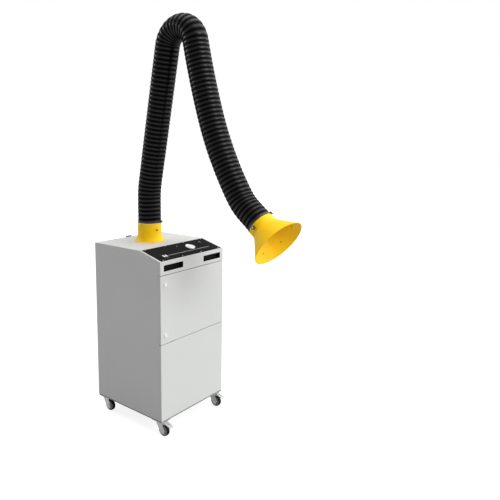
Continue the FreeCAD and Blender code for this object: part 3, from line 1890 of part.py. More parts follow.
fork_outer = V.fork_inner + V.fork_sheet * 2
axle_height = V.wheel_radius
axle_back = -V.caster_trail_length
foot = V.fork_foot_radius
fork_steps = [
    (V.race_radius, crown_low + V.crown_height),
    (-V.race_radius, crown_low + V.crown_height),
    (axle_back - foot, axle_height),
    (axle_back - foot / 2, axle_height - foot),
    (axle_back + foot / 2, axle_height - foot),
    (V.race_radius, crown_low - V.race_height),
]
for corner, (x, y) in corners.items():
    place = spot((x, y, 0))
    fork_body = padded("fork_" + corner, "YZ_Plane", fork_steps, fork_outer)
    placed(fork_body, place, spot((-fork_outer / 2, 0, 0)))
    reach = V.caster_trail_length + V.race_radius + foot
    fork_space = box(
        "fork_space",
        (x - V.fork_inner / 2, y - reach - over, 0),
        (V.fork_inner, reach + V.race_radius + over * 2, crown_low),
    )
    king_bore = rod(
        "king_bore",
        (x, y, crown_low - over),
        V.king_radius + V.pin_clearance,
        V.crown_height + over * 2,
    )
    axle_half = fork_outer / 2
    axle_hole = rod(
        "axle_hole",
        (x - axle_half - over, y + axle_back, axle_height),
        V.axle_radius,
        axle_half * 2 + over * 2,
        "x",
    )
    fork_tools = [fork_space, king_bore, axle_hole]
    pin_place = (y - V.race_radius + V.pedal_pin_radius * 3, crown_low - V.pedal_pin_radius * 2)
    if corner.startswith("front"):
        fork_tools.append(
            rod(
                "pedal_pin_hole",
                (x - axle_half - over, pin_place[0], pin_place[1]),
                V.pedal_pin_radius + V.pin_clearance,
                axle_half * 2 + over * 2,
                "x",
            )
        )
    fork_cut = cut("fork_cut_" + corner, fork_body, fork_tools)
    axle = rod(
        "axle",
        (x - axle_half, y + axle_back, axle_height),
        V.axle_radius,
        axle_half * 2,
        "x",
    )
    ends = [
        rod(
            "axle_head",
            (side, y + axle_back, axle_height),
            V.axle_head_radius,
            V.axle_head_height,
            "x",
        )
        for side in (x - axle_half - V.axle_head_height, x + axle_half)
    ]
    fork_whole = union("fork_whole_" + corner, [fork_cut, axle] + ends)
    node(fork_whole, "caster_fork_" + corner)

    rim_side = V.wheel_width / 2
    hub_side = V.wheel_hub_width / 2
    wheel_steps = [
        (V.wheel_bore, -hub_side),
        (V.wheel_hub_radius, -hub_side),
        (V.wheel_hub_radius, V.wheel_dish - rim_side),
        (V.wheel_rim_radius, V.wheel_dish - rim_side),
        (V.wheel_rim_radius, -rim_side),
        (V.wheel_radius - V.tread_round, -rim_side),
        Bend((V.wheel_radius - V.tread_round, V.tread_round - rim_side), V.tread_round),
        (V.wheel_radius, V.tread_round - rim_side),
        (V.wheel_radius, rim_side - V.tread_round),
        Bend((V.wheel_radius - V.tread_round, rim_side - V.tread_round), V.tread_round),
        (V.wheel_radius - V.tread_round, rim_side),
        (V.wheel_rim_radius, rim_side),
        (V.wheel_rim_radius, rim_side - V.wheel_dish),
        (V.wheel_hub_radius, rim_side - V.wheel_dish),
        (V.wheel_hub_radius, hub_side),
        (V.wheel_bore, hub_side),
    ]
    wheel = turned("wheel_" + corner, wheel_steps)
    placed(wheel, spot((x, y + axle_back, axle_height), (0, 1, 0), 90))
    node(wheel, "caster_wheel_" + corner)

    if corner.startswith("front"):
        pin_back = pin_place[0] - y
        pin_height = pin_place[1]
        eye_size = V.pedal_pin_radius + V.pedal_pin_radius / 2
        clear_top = crown_low - gap * 4
        reach = V.pedal_reach
        pedal_steps = [
            (pin_back + eye_size, pin_height - eye_size),
            (pin_back + eye_size, clear_top),
            (-V.race_radius - gap * 2, clear_top),
            (-V.race_radius - V.pedal_slot * 2, base - V.caster_plate - gap * 4),
            (-V.caster_plate_length / 2, base - V.caster_plate - gap * 4),
            (-reach, wheel_top + gap * 4),
            (-reach, wheel_top - V.pan_wall),
            (-V.caster_plate_length / 2, base - V.pedal_slot * 2),
            (-V.caster_trail_length - foot, wheel_top + V.pan_wall * 3),
            (-V.caster_trail_length, pin_height - eye_size),
        ]
        pedal_body = padded("pedal_" + corner, "YZ_Plane", pedal_steps, V.pedal_width)
        placed(pedal_body, place, spot((-V.pedal_width / 2, 0, 0)))
        pedal_gap = box(
            "pedal_gap",
            (x - V.pedal_slot / 2, y - reach - over, 0),
            (V.pedal_slot, reach - V.caster_plate_length / 2 - V.pedal_slot, base),
        )
        pedal_pin = rod(
            "pedal_pin",
            (x - axle_half, pin_place[0], pin_height),
            V.pedal_pin_radius,
            axle_half * 2,
            "x",
        )
        pedal_cut = cut("pedal_cut_" + corner, pedal_body, [pedal_gap])
        node(union("brake_" + corner, [pedal_cut, pedal_pin]), "brake_pedal_" + corner)

# Every object is checked before any file is written.

doc.recompute()
problems = []
for item in doc.Objects:
    if "Invalid" in item.State or "Error" in item.State:
        problems.append("%s: %s" % (item.Label, ", ".join(item.State)))
for item in nodes:
    shape = item.Shape
    if shape.isNull() or not shape.isValid() or not shape.Solids:
        problems.append("%s: no sound shape" % item.Label)
if problems:
    raise RuntimeError("; ".join(problems))

os.makedirs("parts", exist_ok=True)
for item in nodes:
    item.Shape.exportStep("parts/%s.step" % item.Label)
print("nodes", len(nodes))


def row_place(place):
    """A point of the arm's plane in the model's own frame."""
    turn = math.radians(V.arm_turn.number)
    forward = place[0].number
    return (
        round(forward * math.cos(turn), 3),
        round(V.collar_back.number + forward * math.sin(turn), 3),
        round(place[1].number, 3),
    )


for name, place in (("shoulder", shoulder), ("elbow", elbow), ("wrist", wrist), ("hood", hood_place)):
    print("pivot", name, row_place(place))
print("slope angle", round(slope_angle.number, 4), "hood heading", round(hood_heading.number, 3))
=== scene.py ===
import json
import math

import bmesh
import bpy
from mathutils import Matrix, Vector

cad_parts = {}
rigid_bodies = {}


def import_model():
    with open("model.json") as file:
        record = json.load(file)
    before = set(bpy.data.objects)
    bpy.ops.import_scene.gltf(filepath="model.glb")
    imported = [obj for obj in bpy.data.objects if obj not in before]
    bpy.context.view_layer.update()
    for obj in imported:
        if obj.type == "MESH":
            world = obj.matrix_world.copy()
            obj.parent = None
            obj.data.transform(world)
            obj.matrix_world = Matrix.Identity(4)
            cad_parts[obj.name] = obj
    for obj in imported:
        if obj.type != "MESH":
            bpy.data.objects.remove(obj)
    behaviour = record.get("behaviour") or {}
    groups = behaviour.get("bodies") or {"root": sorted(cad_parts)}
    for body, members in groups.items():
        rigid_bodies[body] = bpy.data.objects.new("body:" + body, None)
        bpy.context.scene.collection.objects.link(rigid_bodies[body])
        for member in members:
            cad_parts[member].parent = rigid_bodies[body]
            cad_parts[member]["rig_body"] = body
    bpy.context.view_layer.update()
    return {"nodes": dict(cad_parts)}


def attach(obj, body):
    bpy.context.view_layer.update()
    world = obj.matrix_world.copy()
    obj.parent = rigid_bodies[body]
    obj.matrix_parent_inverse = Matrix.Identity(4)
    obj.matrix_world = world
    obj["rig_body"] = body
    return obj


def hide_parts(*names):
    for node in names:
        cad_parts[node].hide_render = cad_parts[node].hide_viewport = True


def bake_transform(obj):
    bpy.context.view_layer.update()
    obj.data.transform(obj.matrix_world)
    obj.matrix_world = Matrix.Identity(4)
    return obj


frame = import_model()
bpy.context.scene.view_settings.view_transform = "Standard"


# Camera: stands off the front left corner, a little above the control panel, and looks slightly
# down. Its frame is slid sideways so that the extractor stands left of the middle.

camera_spot = (-2.533, -2.4857, 1.8144)
camera_down = math.radians(8.453)
camera_turn = math.radians(49.062)
camera_aim = (math.pi / 2 - camera_down, 0, -camera_turn)
bpy.ops.object.select_all(action="DESELECT")
bpy.ops.object.camera_add(location=camera_spot, rotation=camera_aim)
camera = bpy.context.object
camera.data.sensor_width = 36
camera.data.lens = 38.964
camera.data.shift_x = 0.1156
camera.data.shift_y = -0.0537
camera.data.clip_end = 200
bpy.context.scene.camera = camera


# Studio: a pale floor that runs out of sight, a white surround and four lamps. A broad one and a
# small one shine from the front, so the left side lies in its own shade, one shines from above and
# one from behind, along the edges.


class Signal:
    """A node's output that takes part in sums with numbers and other outputs."""

    def __init__(self, recipe, socket):
        self.recipe = recipe
        self.socket = socket

    def sum_with(self, operation, first, second):
        return self.recipe.add("ShaderNodeMath", {"operation": operation}, {0: first, 1: second})

    def __add__(self, other):
        return self.sum_with("ADD", self, other)

    def __radd__(self, other):
        return self.sum_with("ADD", other, self)

    def __mul__(self, other):
        return self.sum_with("MULTIPLY", self, other)

    def __rmul__(self, other):
        return self.sum_with("MULTIPLY", other, self)

    def at_most(self, other):
        return self.sum_with("MINIMUM", self, other)


class Recipe:
    """The nodes of a finish, of the floor or of the surround."""

    def __init__(self, owner):
        owner.use_nodes = True
        self.tree = owner.node_tree
        self.tree.nodes.clear()

    def feed(self, socket, value):
        """Links an output to a socket, or sets the socket. A colour is three numbers."""
        if isinstance(value, Signal):
            self.tree.links.new(value.socket, socket)
        elif socket.type == "RGBA":
            socket.default_value = (*value, 1)
        else:
            socket.default_value = value

    def add(self, kind, settings=None, sockets=None, output=0):
        """A node of a kind, with its settings first and then what its sockets take."""
        node = self.tree.nodes.new(kind)
        for name, value in (settings or {}).items():
            setattr(node, name, value)
        for name, value in (sockets or {}).items():
            self.feed(node.inputs[name], value)
        return Signal(self, node.outputs[output]) if node.outputs else None

    def mixed(self, share, first, second):
        """Two colours mixed by a share from 0 to 1."""
        colours = {0: share, 6: first, 7: second}
        return self.add("ShaderNodeMix", {"data_type": "RGBA"}, colours, output=2)


def seen_directly(recipe):
    """1 for what the camera sees, also through glass, less in gloss, and 0 for all other light."""
    gloss_share = 0.35
    seen = recipe.add("ShaderNodeLightPath", output="Is Camera Ray")
    glossed = recipe.add("ShaderNodeLightPath", output="Is Glossy Ray")
    through = recipe.add("ShaderNodeLightPath", output="Is Transmission Ray")
    return (seen + gloss_share * glossed + through).at_most(1.0)


white = (1, 1, 1)
surround_strength = 0.17
surround = bpy.data.worlds.new("studio_surround")
bpy.context.scene.world = surround
sky = Recipe(surround)
sky_strength = surround_strength + (1.0 - surround_strength) * seen_directly(sky)
sky_light = sky.add("ShaderNodeBackground", {}, {"Color": white, "Strength": sky_strength})
sky.add("ShaderNodeOutputWorld", {}, {"Surface": sky_light})


def lamp(name, towards, strength, spread):
    """A far lamp in a direction, as wide as a spread in degrees, which softens its shadows."""
    distance = 5
    bpy.ops.object.select_all(action="DESELECT")
    turn = Vector(towards).to_track_quat("Z", "Y").to_euler()
    bpy.ops.object.light_add(type="SUN", rotation=turn, location=Vector(towards) * distance)
    far_lamp = bpy.context.object
    far_lamp.name = name
    far_lamp.data.energy = strength
    far_lamp.data.angle = math.radians(spread)


lamp("main_lamp", (0.50, -0.62, 0.68), strength=3.7, spread=110)
lamp("front_lamp", (-0.03, -0.88, 0.47), strength=0.8, spread=24)
lamp("top_lamp", (0.0, 0.38, 0.92), strength=1.2, spread=50)
lamp("edge_lamp", (-0.26, 0.92, 0.28), strength=0.5, spread=10)

floor_lit = (0.4, 0.4, 0.4)
floor_seen = (0.95, 0.95, 0.95)
floor_glow_strength = 1.22
floor_glow_share = 0.70
bpy.ops.object.select_all(action="DESELECT")
bpy.ops.mesh.primitive_plane_add(size=80, location=(0, 0, 0))
floor = bpy.context.object
floor.name = "studio_floor"
floor_paint = bpy.data.materials.new("floor_paint")
floor_recipe = Recipe(floor_paint)
shown = seen_directly(floor_recipe)
floor_tone = floor_recipe.mixed(shown, floor_lit, floor_seen)
floor_matt = floor_recipe.add("ShaderNodeBsdfDiffuse", {}, {"Color": floor_tone})
floor_glow = floor_recipe.add(
    "ShaderNodeEmission", {}, {"Color": white, "Strength": floor_glow_strength}
)
floor_mix = floor_recipe.add(
    "ShaderNodeMixShader", {}, {0: shown * floor_glow_share, 1: floor_matt, 2: floor_glow}
)
floor_recipe.add("ShaderNodeOutputMaterial", {}, {"Surface": floor_mix})
floor.data.materials.append(floor_paint)


# Cabinet sheets: side panels, back, top with its slope and fascia, lower panel and door, folded
# from 1.5 mm sheet and powder coated light grey. Outer folds are rounded, cut edges only broken.


class Finish(Recipe):
    """A material round one main shader, whose own sockets hold what is the same all over."""

    def __init__(self, name, constants):
        self.material = bpy.data.materials.new(name)
        super().__init__(self.material)
        self.shader = self.tree.nodes.new("ShaderNodeBsdfPrincipled")
        self.add("ShaderNodeOutputMaterial", {}, {"Surface": Signal(self, self.shader.outputs[0])})
        for socket, value in constants.items():
            self.give(socket, value)

    def give(self, socket, value):
        self.feed(self.shader.inputs[socket], value)

    def coloured(self, share, first, second):
        """The base colour goes from the first to the second as a share goes from 0 to 1."""
        self.give("Base Color", self.mixed(share, first, second))

    def grain(self, size, detail=2.0):
        """Soft noise from 0 to 1 whose spots are about a size across, in metres."""
        where = self.add("ShaderNodeTexCoord", output="Object")
        spread = self.add("ShaderNodeMapping", {}, {"Vector": where, "Scale": [1 / size] * 3})
        noise = {"Vector": spread, "Scale": 1.0, "Detail": detail}
        return self.add("ShaderNodeTexNoise", {}, noise)

    def raised(self, height, depth):
        """Lets the light play over a height from 0 to 1 that stands for a depth in metres."""
        bump = self.add("ShaderNodeBump", {}, {"Height": height, "Distance": depth})
        self.give("Normal", bump)


def select_only(piece):
    bpy.ops.object.select_all(action="DESELECT")
    piece.select_set(True)
    bpy.context.view_layer.objects.active = piece


def clean_copy(node):
    """A part's own shape as one welded mesh, ready to be worked on."""
    piece = bpy.data.objects.new(node + "_shape", frame["nodes"][node].data.copy())
    bpy.context.collection.objects.link(piece)
    select_only(piece)
    bpy.ops.mesh.customdata_custom_splitnormals_clear()
    bpy.ops.object.mode_set(mode="EDIT")
    bpy.ops.mesh.select_all(action="SELECT")
    bpy.ops.mesh.remove_doubles(threshold=0.00001)
    bpy.ops.mesh.dissolve_limited(angle_limit=math.radians(1))
    bpy.ops.mesh.normals_make_consistent()
    bpy.ops.object.mode_set(mode="OBJECT")
    return piece


def apply_modifier(piece, kind, **settings):
    select_only(piece)
    step = piece.modifiers.new(kind.lower(), kind)
    for name, value in settings.items():
        setattr(step, name, value)
    bpy.ops.object.modifier_apply(modifier=step.name)


def smooth(piece, angle=35):
    """Shades rounds smoothly and keeps flat faces flat."""
    select_only(piece)
    bpy.ops.object.shade_smooth_by_angle(angle=math.radians(angle))
    apply_modifier(piece, "WEIGHTED_NORMAL", keep_sharp=True)


def eased(piece, fold, cut):
    """Rounds the outside edges between broad faces by a fold's radius and thin ones by a cut's."""
    least_turn = math.radians(30)
    least_breadth = 3
    shape = bmesh.new()
    shape.from_mesh(piece.data)
    weight = shape.edges.layers.float.new("bevel_weight_edge")
    for edge in shape.edges:
        if len(edge.link_faces) == 2 and edge.calc_face_angle_signed() > least_turn:
            breadth = min(2 * face.calc_area() / face.calc_perimeter() for face in edge.link_faces)
            if breadth > least_breadth * fold:
                edge[weight] = 1.0
            elif breadth > least_breadth * cut:
                edge[weight] = cut / fold
    shape.to_mesh(piece.data)
    shape.free()
    apply_modifier(
        piece, "BEVEL", limit_method="WEIGHT", width=fold, segments=3, use_clamp_overlap=False
    )


def take_place(piece, node, finish):
    """The piece takes its finish and stands for a part of the frame."""
    piece.data.materials.clear()
    piece.data.materials.append(finish.material)
    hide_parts(node)


def worked(node, finish, fold=0.0006, cut=0.0003):
    """A part's own shape with its edges eased, in its finish, on that part's body."""
    piece = clean_copy(node)
    eased(piece, fold, cut)
    smooth(piece)
    take_place(piece, node, finish)
    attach(piece, frame["nodes"][node]["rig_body"])
    return piece


powder_grey = Finish("powder_grey", {"Specular IOR Level": 0.4})
powder_drift = powder_grey.grain(0.4, 1.0)
powder_grey.coloured(powder_drift, (0.55, 0.56, 0.55), (0.58, 0.59, 0.58))
powder_grey.give("Roughness", 0.40 + 0.10 * powder_grey.grain(0.03, 3.0))
powder_grey.raised(powder_grey.grain(0.0016, 1.5), 0.00005)
for node in ("left_side_panel", "right_side_panel", "back_panel"):
    worked(node, powder_grey, fold=0.0018)
worked("top_cover", powder_grey, fold=0.0025)
for node in ("lower_front_panel", "upper_door", "divider_shelf"):
    worked(node, powder_grey, fold=0.0016)
for node in ("hinge_posts", "hinge_leaves"):
    worked(node, powder_grey)


# Base pan: a shallow pan folded from sheet. Its coat is painted a darker grey than the cabinet's,
# as painted shade under the cabinet. It closes the cabinet from below, and the casters are bolted
# under it.

pan_grey_painted_shade = Finish("pan_grey_painted_shade", {"Specular IOR Level": 0.3})
pan_drift = pan_grey_painted_shade.grain(0.2, 2.0)
# The darker grey is painted shade, not a darker coat.
pan_grey_painted_shade.coloured(pan_drift, (0.22, 0.225, 0.22), (0.27, 0.275, 0.27))
pan_grey_painted_shade.give("Roughness", 0.5 + 0.1 * pan_grey_painted_shade.grain(0.02, 3.0))
pan_grey_painted_shade.raised(pan_grey_painted_shade.grain(0.0015, 1.5), 0.00006)
worked("base_pan", pan_grey_painted_shade, fold=0.0016)


# Recessed grips: two black shells, moulded in plastic and matt inside, one near each end of the
# fascia. They sit flush in its openings.

grip_black = Finish("grip_black", {"IOR": 1.15})
grip_wear = grip_black.grain(0.03, 3.0)
grip_black.coloured(grip_wear, (0.008, 0.008, 0.009), (0.014, 0.014, 0.015))
grip_black.give("Roughness", 0.55 + 0.15 * grip_wear)
grip_black.raised(grip_black.grain(0.001, 1.0), 0.00008)
for node in ("grip_shell_left", "grip_shell_right"):
    worked(node, grip_black, fold=0.001)


# Quarter-turn locks and small screws. The locks are turned discs with a bright plated face, one
# near each left corner of the door, and the screws are zinc plated steel.

zinc = Finish("zinc_plate", {"Metallic": 1.0})
zinc_spangle = zinc.grain(0.012, 3.0)
zinc.coloured(zinc_spangle, (0.55, 0.55, 0.56), (0.70, 0.70, 0.71))
zinc.give("Roughness", 0.26 + 0.18 * zinc.grain(0.006, 3.0))
zinc.raised(zinc.grain(0.0008, 1.0), 0.00003)
lock_chrome = Finish("lock_chrome", {"Metallic": 0.35})
lock_drift = lock_chrome.grain(0.008, 2.0)
lock_chrome.coloured(lock_drift, (0.80, 0.80, 0.81), (0.88, 0.88, 0.89))
lock_chrome.give("Roughness", 0.18 + 0.10 * lock_drift)
for node in ("lock_upper", "lock_lower"):
    worked(node, lock_chrome, fold=0.0022)
for node in ("collar_screws", "panel_screws"):
    worked(node, zinc, fold=0.0005)


# Control plate: a flat plate cut from sheet and coated black, held on the slope by small screws. A
# thin pale line is printed along its foot.

slope_top = (0, -0.123, 1.164)
slope_angle = math.radians(15.1729)
slope_frame = Matrix.Translation(slope_top) @ Matrix.Rotation(slope_angle, 4, "X")
plate_face = 0.0015
line_size = (0.3925, 0.0035, 0.0002)
line_middle = (0.02375, -0.1275, plate_face + 0.0001)


def placed_by(piece, place):
    """Moves a finished mesh to its place, with its object left at the origin."""
    piece.data.transform(place @ piece.matrix_basis)
    piece.matrix_basis = Matrix.Identity(4)


def block(name, size, middle):
    """A block of a size round a middle, in its own frame."""
    bpy.ops.object.select_all(action="DESELECT")
    bpy.ops.mesh.primitive_cube_add(size=1, location=middle)
    piece = bpy.context.object
    piece.name = name
    piece.scale = size
    bpy.ops.object.transform_apply(location=True, rotation=True, scale=True)
    return piece


plate_black = Finish("plate_black", {"IOR": 1.05})
plate_drift = plate_black.grain(0.05, 2.0)
plate_black.coloured(plate_drift, (0.010, 0.010, 0.0105), (0.015, 0.015, 0.0155))
plate_black.give("Roughness", 0.36 + 0.12 * plate_drift)
plate_black.raised(plate_black.grain(0.0009, 1.0), 0.00003)
worked("control_plate", plate_black, fold=0.0005, cut=0.0004)

print_grey = Finish("print_grey", {"Roughness": 0.5})
print_grey.coloured(print_grey.grain(0.004, 2.0), (0.32, 0.32, 0.315), (0.40, 0.40, 0.395))
plate_line = block("plate_line", line_size, line_middle)
placed_by(plate_line, slope_frame)
plate_line.data.materials.append(print_grey.material)
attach(plate_line, "cabinet")


# Pressure gauge: a white plastic bezel and dial with plain printed marks, let into the plate. Its
# black needle turns on a spindle under a clear lens.

gauge_white = Finish("gauge_white", {"Specular IOR Level": 0.5, "Roughness": 0.3})
gauge_drift = gauge_white.grain(0.02, 2.0)
gauge_white.coloured(gauge_drift, (0.86, 0.86, 0.85), (0.90, 0.90, 0.89))
worked("pressure_gauge", gauge_white, fold=0.001)

gauge_side = 0.077
gauge_down = 0.084
dial_face = plate_face + 0.002
lens_foot = plate_face + 0.0036
mark_count = 25
marks_to_a_long_one = 4
first_mark = -120
mark_step = 10
long_mark = ((0.0009, 0.005, 0.0001), (0, 0.024, 0.00005))
short_mark = ((0.0005, 0.003, 0.0001), (0, 0.025, 0.00005))
marks = []
for number in range(mark_count):
    size, middle = short_mark if number % marks_to_a_long_one else long_mark
    mark = block("gauge_mark", size, middle)
    turn = Matrix.Rotation(-math.radians(first_mark + mark_step * number), 4, "Z")
    around = Matrix.Translation((gauge_side, -gauge_down, dial_face)) @ turn
    placed_by(mark, slope_frame @ around)
    marks.append(mark)
bpy.ops.object.select_all(action="DESELECT")
for mark in marks:
    mark.select_set(True)
bpy.context.view_layer.objects.active = marks[0]
bpy.ops.object.join()
gauge_marks = bpy.context.object
gauge_marks.name = "gauge_marks"
gauge_marks.data.materials.append(print_grey.material)
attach(gauge_marks, "cabinet")

black_plastic = Finish("black_plastic", {"Specular IOR Level": 0.45})
black_drift = black_plastic.grain(0.01, 2.0)
black_plastic.coloured(black_drift, (0.012, 0.012, 0.012), (0.02, 0.02, 0.02))
black_plastic.give("Roughness", 0.38 + 0.15 * black_drift)
black_plastic.raised(black_plastic.grain(0.0007, 1.0), 0.00003)
worked("gauge_needle", black_plastic, fold=0.0002, cut=0.0001)


def turned_piece(name, rings, sides, closed=False):
    """A shape spun from radius and height pairs, first to last, as on a lathe."""
    first_radius, first_height = rings[0]
    bpy.ops.object.select_all(action="DESELECT")
    bpy.ops.mesh.primitive_circle_add(
        vertices=sides, radius=first_radius, location=(0, 0, first_height)
    )
    piece = bpy.context.object
    piece.name = name
    bpy.ops.object.transform_apply(location=True, rotation=False, scale=False)
    bpy.ops.object.mode_set(mode="EDIT")
    bpy.ops.mesh.select_all(action="SELECT")
    for (radius, height), (new_radius, new_height) in zip(rings, rings[1:]):
        rise = {"value": (0, 0, new_height - height)}
        share = new_radius / radius
        bpy.ops.mesh.extrude_region_move(TRANSFORM_OT_translate=rise)
        bpy.ops.transform.resize(value=(share, share, 1), center_override=(0, 0, new_height))
    bpy.ops.mesh.select_all(action="SELECT")
    bpy.ops.mesh.remove_doubles(threshold=0.000002)
    if closed:
        bpy.ops.mesh.select_all(action="DESELECT")
        bpy.ops.mesh.select_non_manifold()
        bpy.ops.mesh.fill_holes(sides=0)
        bpy.ops.mesh.select_all(action="SELECT")
    bpy.ops.mesh.normals_make_consistent()
    bpy.ops.object.mode_set(mode="OBJECT")
    return piece


lens_clear = Finish("lens_clear", {"Base Color": white, "Roughness": 0.04, "Alpha": 0.08})
lens_rings = [(0.0004, 0.0), (0.0283, 0.0), (0.0283, 0.0006)]
lens_rings += [(0.020, 0.0010), (0.010, 0.0012), (0.0004, 0.00125)]
gauge_lens = turned_piece("gauge_lens", lens_rings, sides=64, closed=True)
placed_by(gauge_lens, slope_frame @ Matrix.Translation((gauge_side, -gauge_down, lens_foot)))
gauge_lens.data.materials.append(lens_clear.material)
smooth(gauge_lens)
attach(gauge_lens, "cabinet")


# Switch block and signal lamp: the block and its two push buttons are moulded in black plastic,
# and each button has a white cap. The lamp beside them has a small smoky grey lens.

lamp_smoke = Finish("lamp_smoke", {"Specular IOR Level": 0.45})
smoke_drift = lamp_smoke.grain(0.01, 2.0)
lamp_smoke.coloured(smoke_drift, (0.13, 0.13, 0.135), (0.18, 0.18, 0.185))
lamp_smoke.give("Roughness", 0.42 + 0.1 * smoke_drift)
worked("switch_block", black_plastic, fold=0.001)
worked("indicator_lamp", lamp_smoke, fold=0.001)
cap_size = (0.0115, 0.021, 0.0006)
cap_down = 0.139
cap_lift = 0.0002
for node, side in (("start_button", -0.2275), ("stop_button", -0.2065)):
    button = worked(node, black_plastic, fold=0.0012)
    crown = max((slope_frame.inverted() @ vertex.co).z for vertex in button.data.vertices)
    cap = block(node + "_cap", cap_size, (side, -cap_down, crown + cap_lift))
    placed_by(cap, slope_frame)
    eased(cap, fold=0.0002, cut=0.0001)
    cap.data.materials.append(gauge_white.material)
    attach(cap, frame["nodes"][node]["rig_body"])


# Speed knob: a black moulded knob, a little tapered, pushed on its shaft. A pale pointer line is
# let into its face.

knob_side = 0.192
knob_down = 0.063
knob_face = plate_face + 0.0099
pointer_size = (0.0020, 0.0095, 0.0004)
pointer_reach = 0.006
worked("speed_knob", black_plastic, fold=0.0015)
knob_line = block("knob_pointer", pointer_size, (knob_side, -knob_down + pointer_reach, knob_face))
placed_by(knob_line, slope_frame)
knob_line.data.materials.append(print_grey.material)
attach(knob_line, "knob")


# Rear fittings: the cord's gland, moulded in black plastic and held by a nut inside the back
# panel, and a hook bent from dark coated strip, just above the top's rear edge.

dark_metal = Finish("dark_metal", {"Metallic": 0.6})
dark_drift = dark_metal.grain(0.02, 3.0)
dark_metal.coloured(dark_drift, (0.035, 0.035, 0.038), (0.06, 0.06, 0.063))
dark_metal.give("Roughness", 0.38 + 0.2 * dark_drift)
dark_metal.raised(dark_metal.grain(0.001, 1.0), 0.00004)
worked("mains_inlet", black_plastic, fold=0.0008)
worked("cable_hook", dark_metal, fold=0.001)


# Inside the cabinet: the filter with its pale pleated media in the upper chamber, and hung under
# the shelf the fan, with a zinc plated housing and wheel and a cast motor.

filter_cloth = Finish("filter_cloth", {"Roughness": 0.9, "Specular IOR Level": 0.2})
filter_weave = filter_cloth.grain(0.0012, 2.0)
filter_cloth.coloured(filter_weave, (0.62, 0.61, 0.57), (0.74, 0.73, 0.69))
filter_cloth.raised(filter_weave, 0.0003)
worked("filter_cassette", filter_cloth, fold=0.002)
motor_grey = Finish("motor_grey", {"Metallic": 0.5})
motor_cast = motor_grey.grain(0.003, 2.0)
motor_grey.coloured(motor_cast, (0.26, 0.28, 0.30), (0.33, 0.35, 0.37))
motor_grey.give("Roughness", 0.45 + 0.15 * motor_cast)
motor_grey.raised(motor_cast, 0.0002)
worked("fan_motor", motor_grey, fold=0.002)
worked("fan_housing", zinc, fold=0.0015)
worked("fan_impeller", zinc, fold=0.0005)


# Inlet collar: a spun steel collar with a flared foot, coated yellow and screwed on the top. The
# arm's plated spigot turns in it, and a thumb screw at its side clamps the spigot.

yellow_coat = Finish("yellow_coat", {"Specular IOR Level": 0.18})
yellow_drift = yellow_coat.grain(0.15, 2.0)
yellow_coat.coloured(yellow_drift, (1.0, 0.58, 0.002), (1.0, 0.64, 0.003))
yellow_coat.give("Roughness", 0.34 + 0.08 * yellow_coat.grain(0.02, 3.0))
yellow_coat.raised(yellow_coat.grain(0.0025, 1.5), 0.00005)
worked("inlet_collar", yellow_coat, fold=0.0006)
worked("swivel_lock_screw", dark_metal, fold=0.0006)
worked("swivel_spigot", zinc, fold=0.0006)


# Ribbed hose: thin black coated fabric drawn over a spiral, so each turn stands out as a soft band,
# helped by painted shade in its grooves.
# One rib is turned, repeated along the middle line, and cut where the arm's joints bend it.

hose_black = Finish("hose_black", {"IOR": 1.1, "Coat IOR": 1.5, "Coat Roughness": 0.3})
hose_drift = hose_black.grain(0.05, 3.0)
# A darker base and no coat in the grooves, keyed to the crest share: painted shade in the grooves.
groove_shade_mask = hose_black.add("ShaderNodeAttribute", {"attribute_name": "crest"}, output="Fac")
crest_tone = hose_black.mixed(hose_drift, (0.002, 0.002, 0.002), (0.004, 0.004, 0.0042))
hose_black.coloured(groove_shade_mask, (0.0005, 0.0005, 0.0005), crest_tone)
hose_black.give("Coat Weight", 0.55 * groove_shade_mask * groove_shade_mask)
hose_black.give("Roughness", 0.5 + 0.1 * hose_black.grain(0.012, 3.0))
hose_black.raised(hose_black.grain(0.005, 2.0), 0.00003)

# The middle line, in the arm's own frame, is a row of runs: a length and the degrees it turns by.

arm_foot = (0, 0.09, 0)
arm_turn = math.radians(-94)
arm_frame = Matrix.Translation(arm_foot) @ Matrix.Rotation(arm_turn, 4, "Z")
hose_foot = 1.2863
fold_radius = 0.1245
fold_turn = 155.2
fold_length = fold_radius * math.radians(fold_turn)
half_fold = (fold_length / 2, fold_turn / 2)
runs = [(0.156, 0), (0.120, 11.8), (0.860, 0), half_fold, half_fold]
runs += [(0.4424, -5.5), (0.523, -15.7), (0.100, -17.8), (0.110, 0)]


def along_hose(distance):
    """The middle line's place and heading, in the arm's own frame, at a distance from its foot."""
    spot = Vector((0, 0, hose_foot))
    heading = 0.0
    for length, turn in runs:
        step = min(length, distance)
        bend = math.radians(turn) * step / length
        chord = step * math.sin(bend / 2) / (bend / 2) if bend else step
        spot += Vector((math.sin(heading + bend / 2), 0, math.cos(heading + bend / 2))) * chord
        heading += bend
        distance -= step
    return spot, Vector((math.sin(heading), 0, math.cos(heading)))


bpy.ops.object.select_all(action="DESELECT")
bpy.ops.curve.primitive_bezier_curve_add()
hose_line = bpy.context.object
hose_line.name = "hose_line"
hose_line.data.resolution_u = 64
spline = hose_line.data.splines[0]
spline.bezier_points.add(len(runs) - 1)
for number, point in enumerate(spline.bezier_points):
    point.handle_left_type = "FREE"
    point.handle_right_type = "FREE"
    spot, ahead = along_hose(sum(length for length, _ in runs[:number]))
    point.co = arm_frame @ spot
    for side in (-1, 1):
        run = number if side > 0 else number - 1
        length, turn = runs[min(max(run, 0), len(runs) - 1)]
        bend = abs(math.radians(turn))
        reach = length * 4 / 3 * math.tan(bend / 4) / bend if bend else length / 3
        handle = arm_frame @ (spot + ahead * reach * side)
        if side < 0:
            point.handle_left = handle
        else:
            point.handle_right = handle

# A rib's section: how far along the rib, and how much of the way from its root to its top. Each
# stretch of the hose then has its count of ribs and its count of runs.

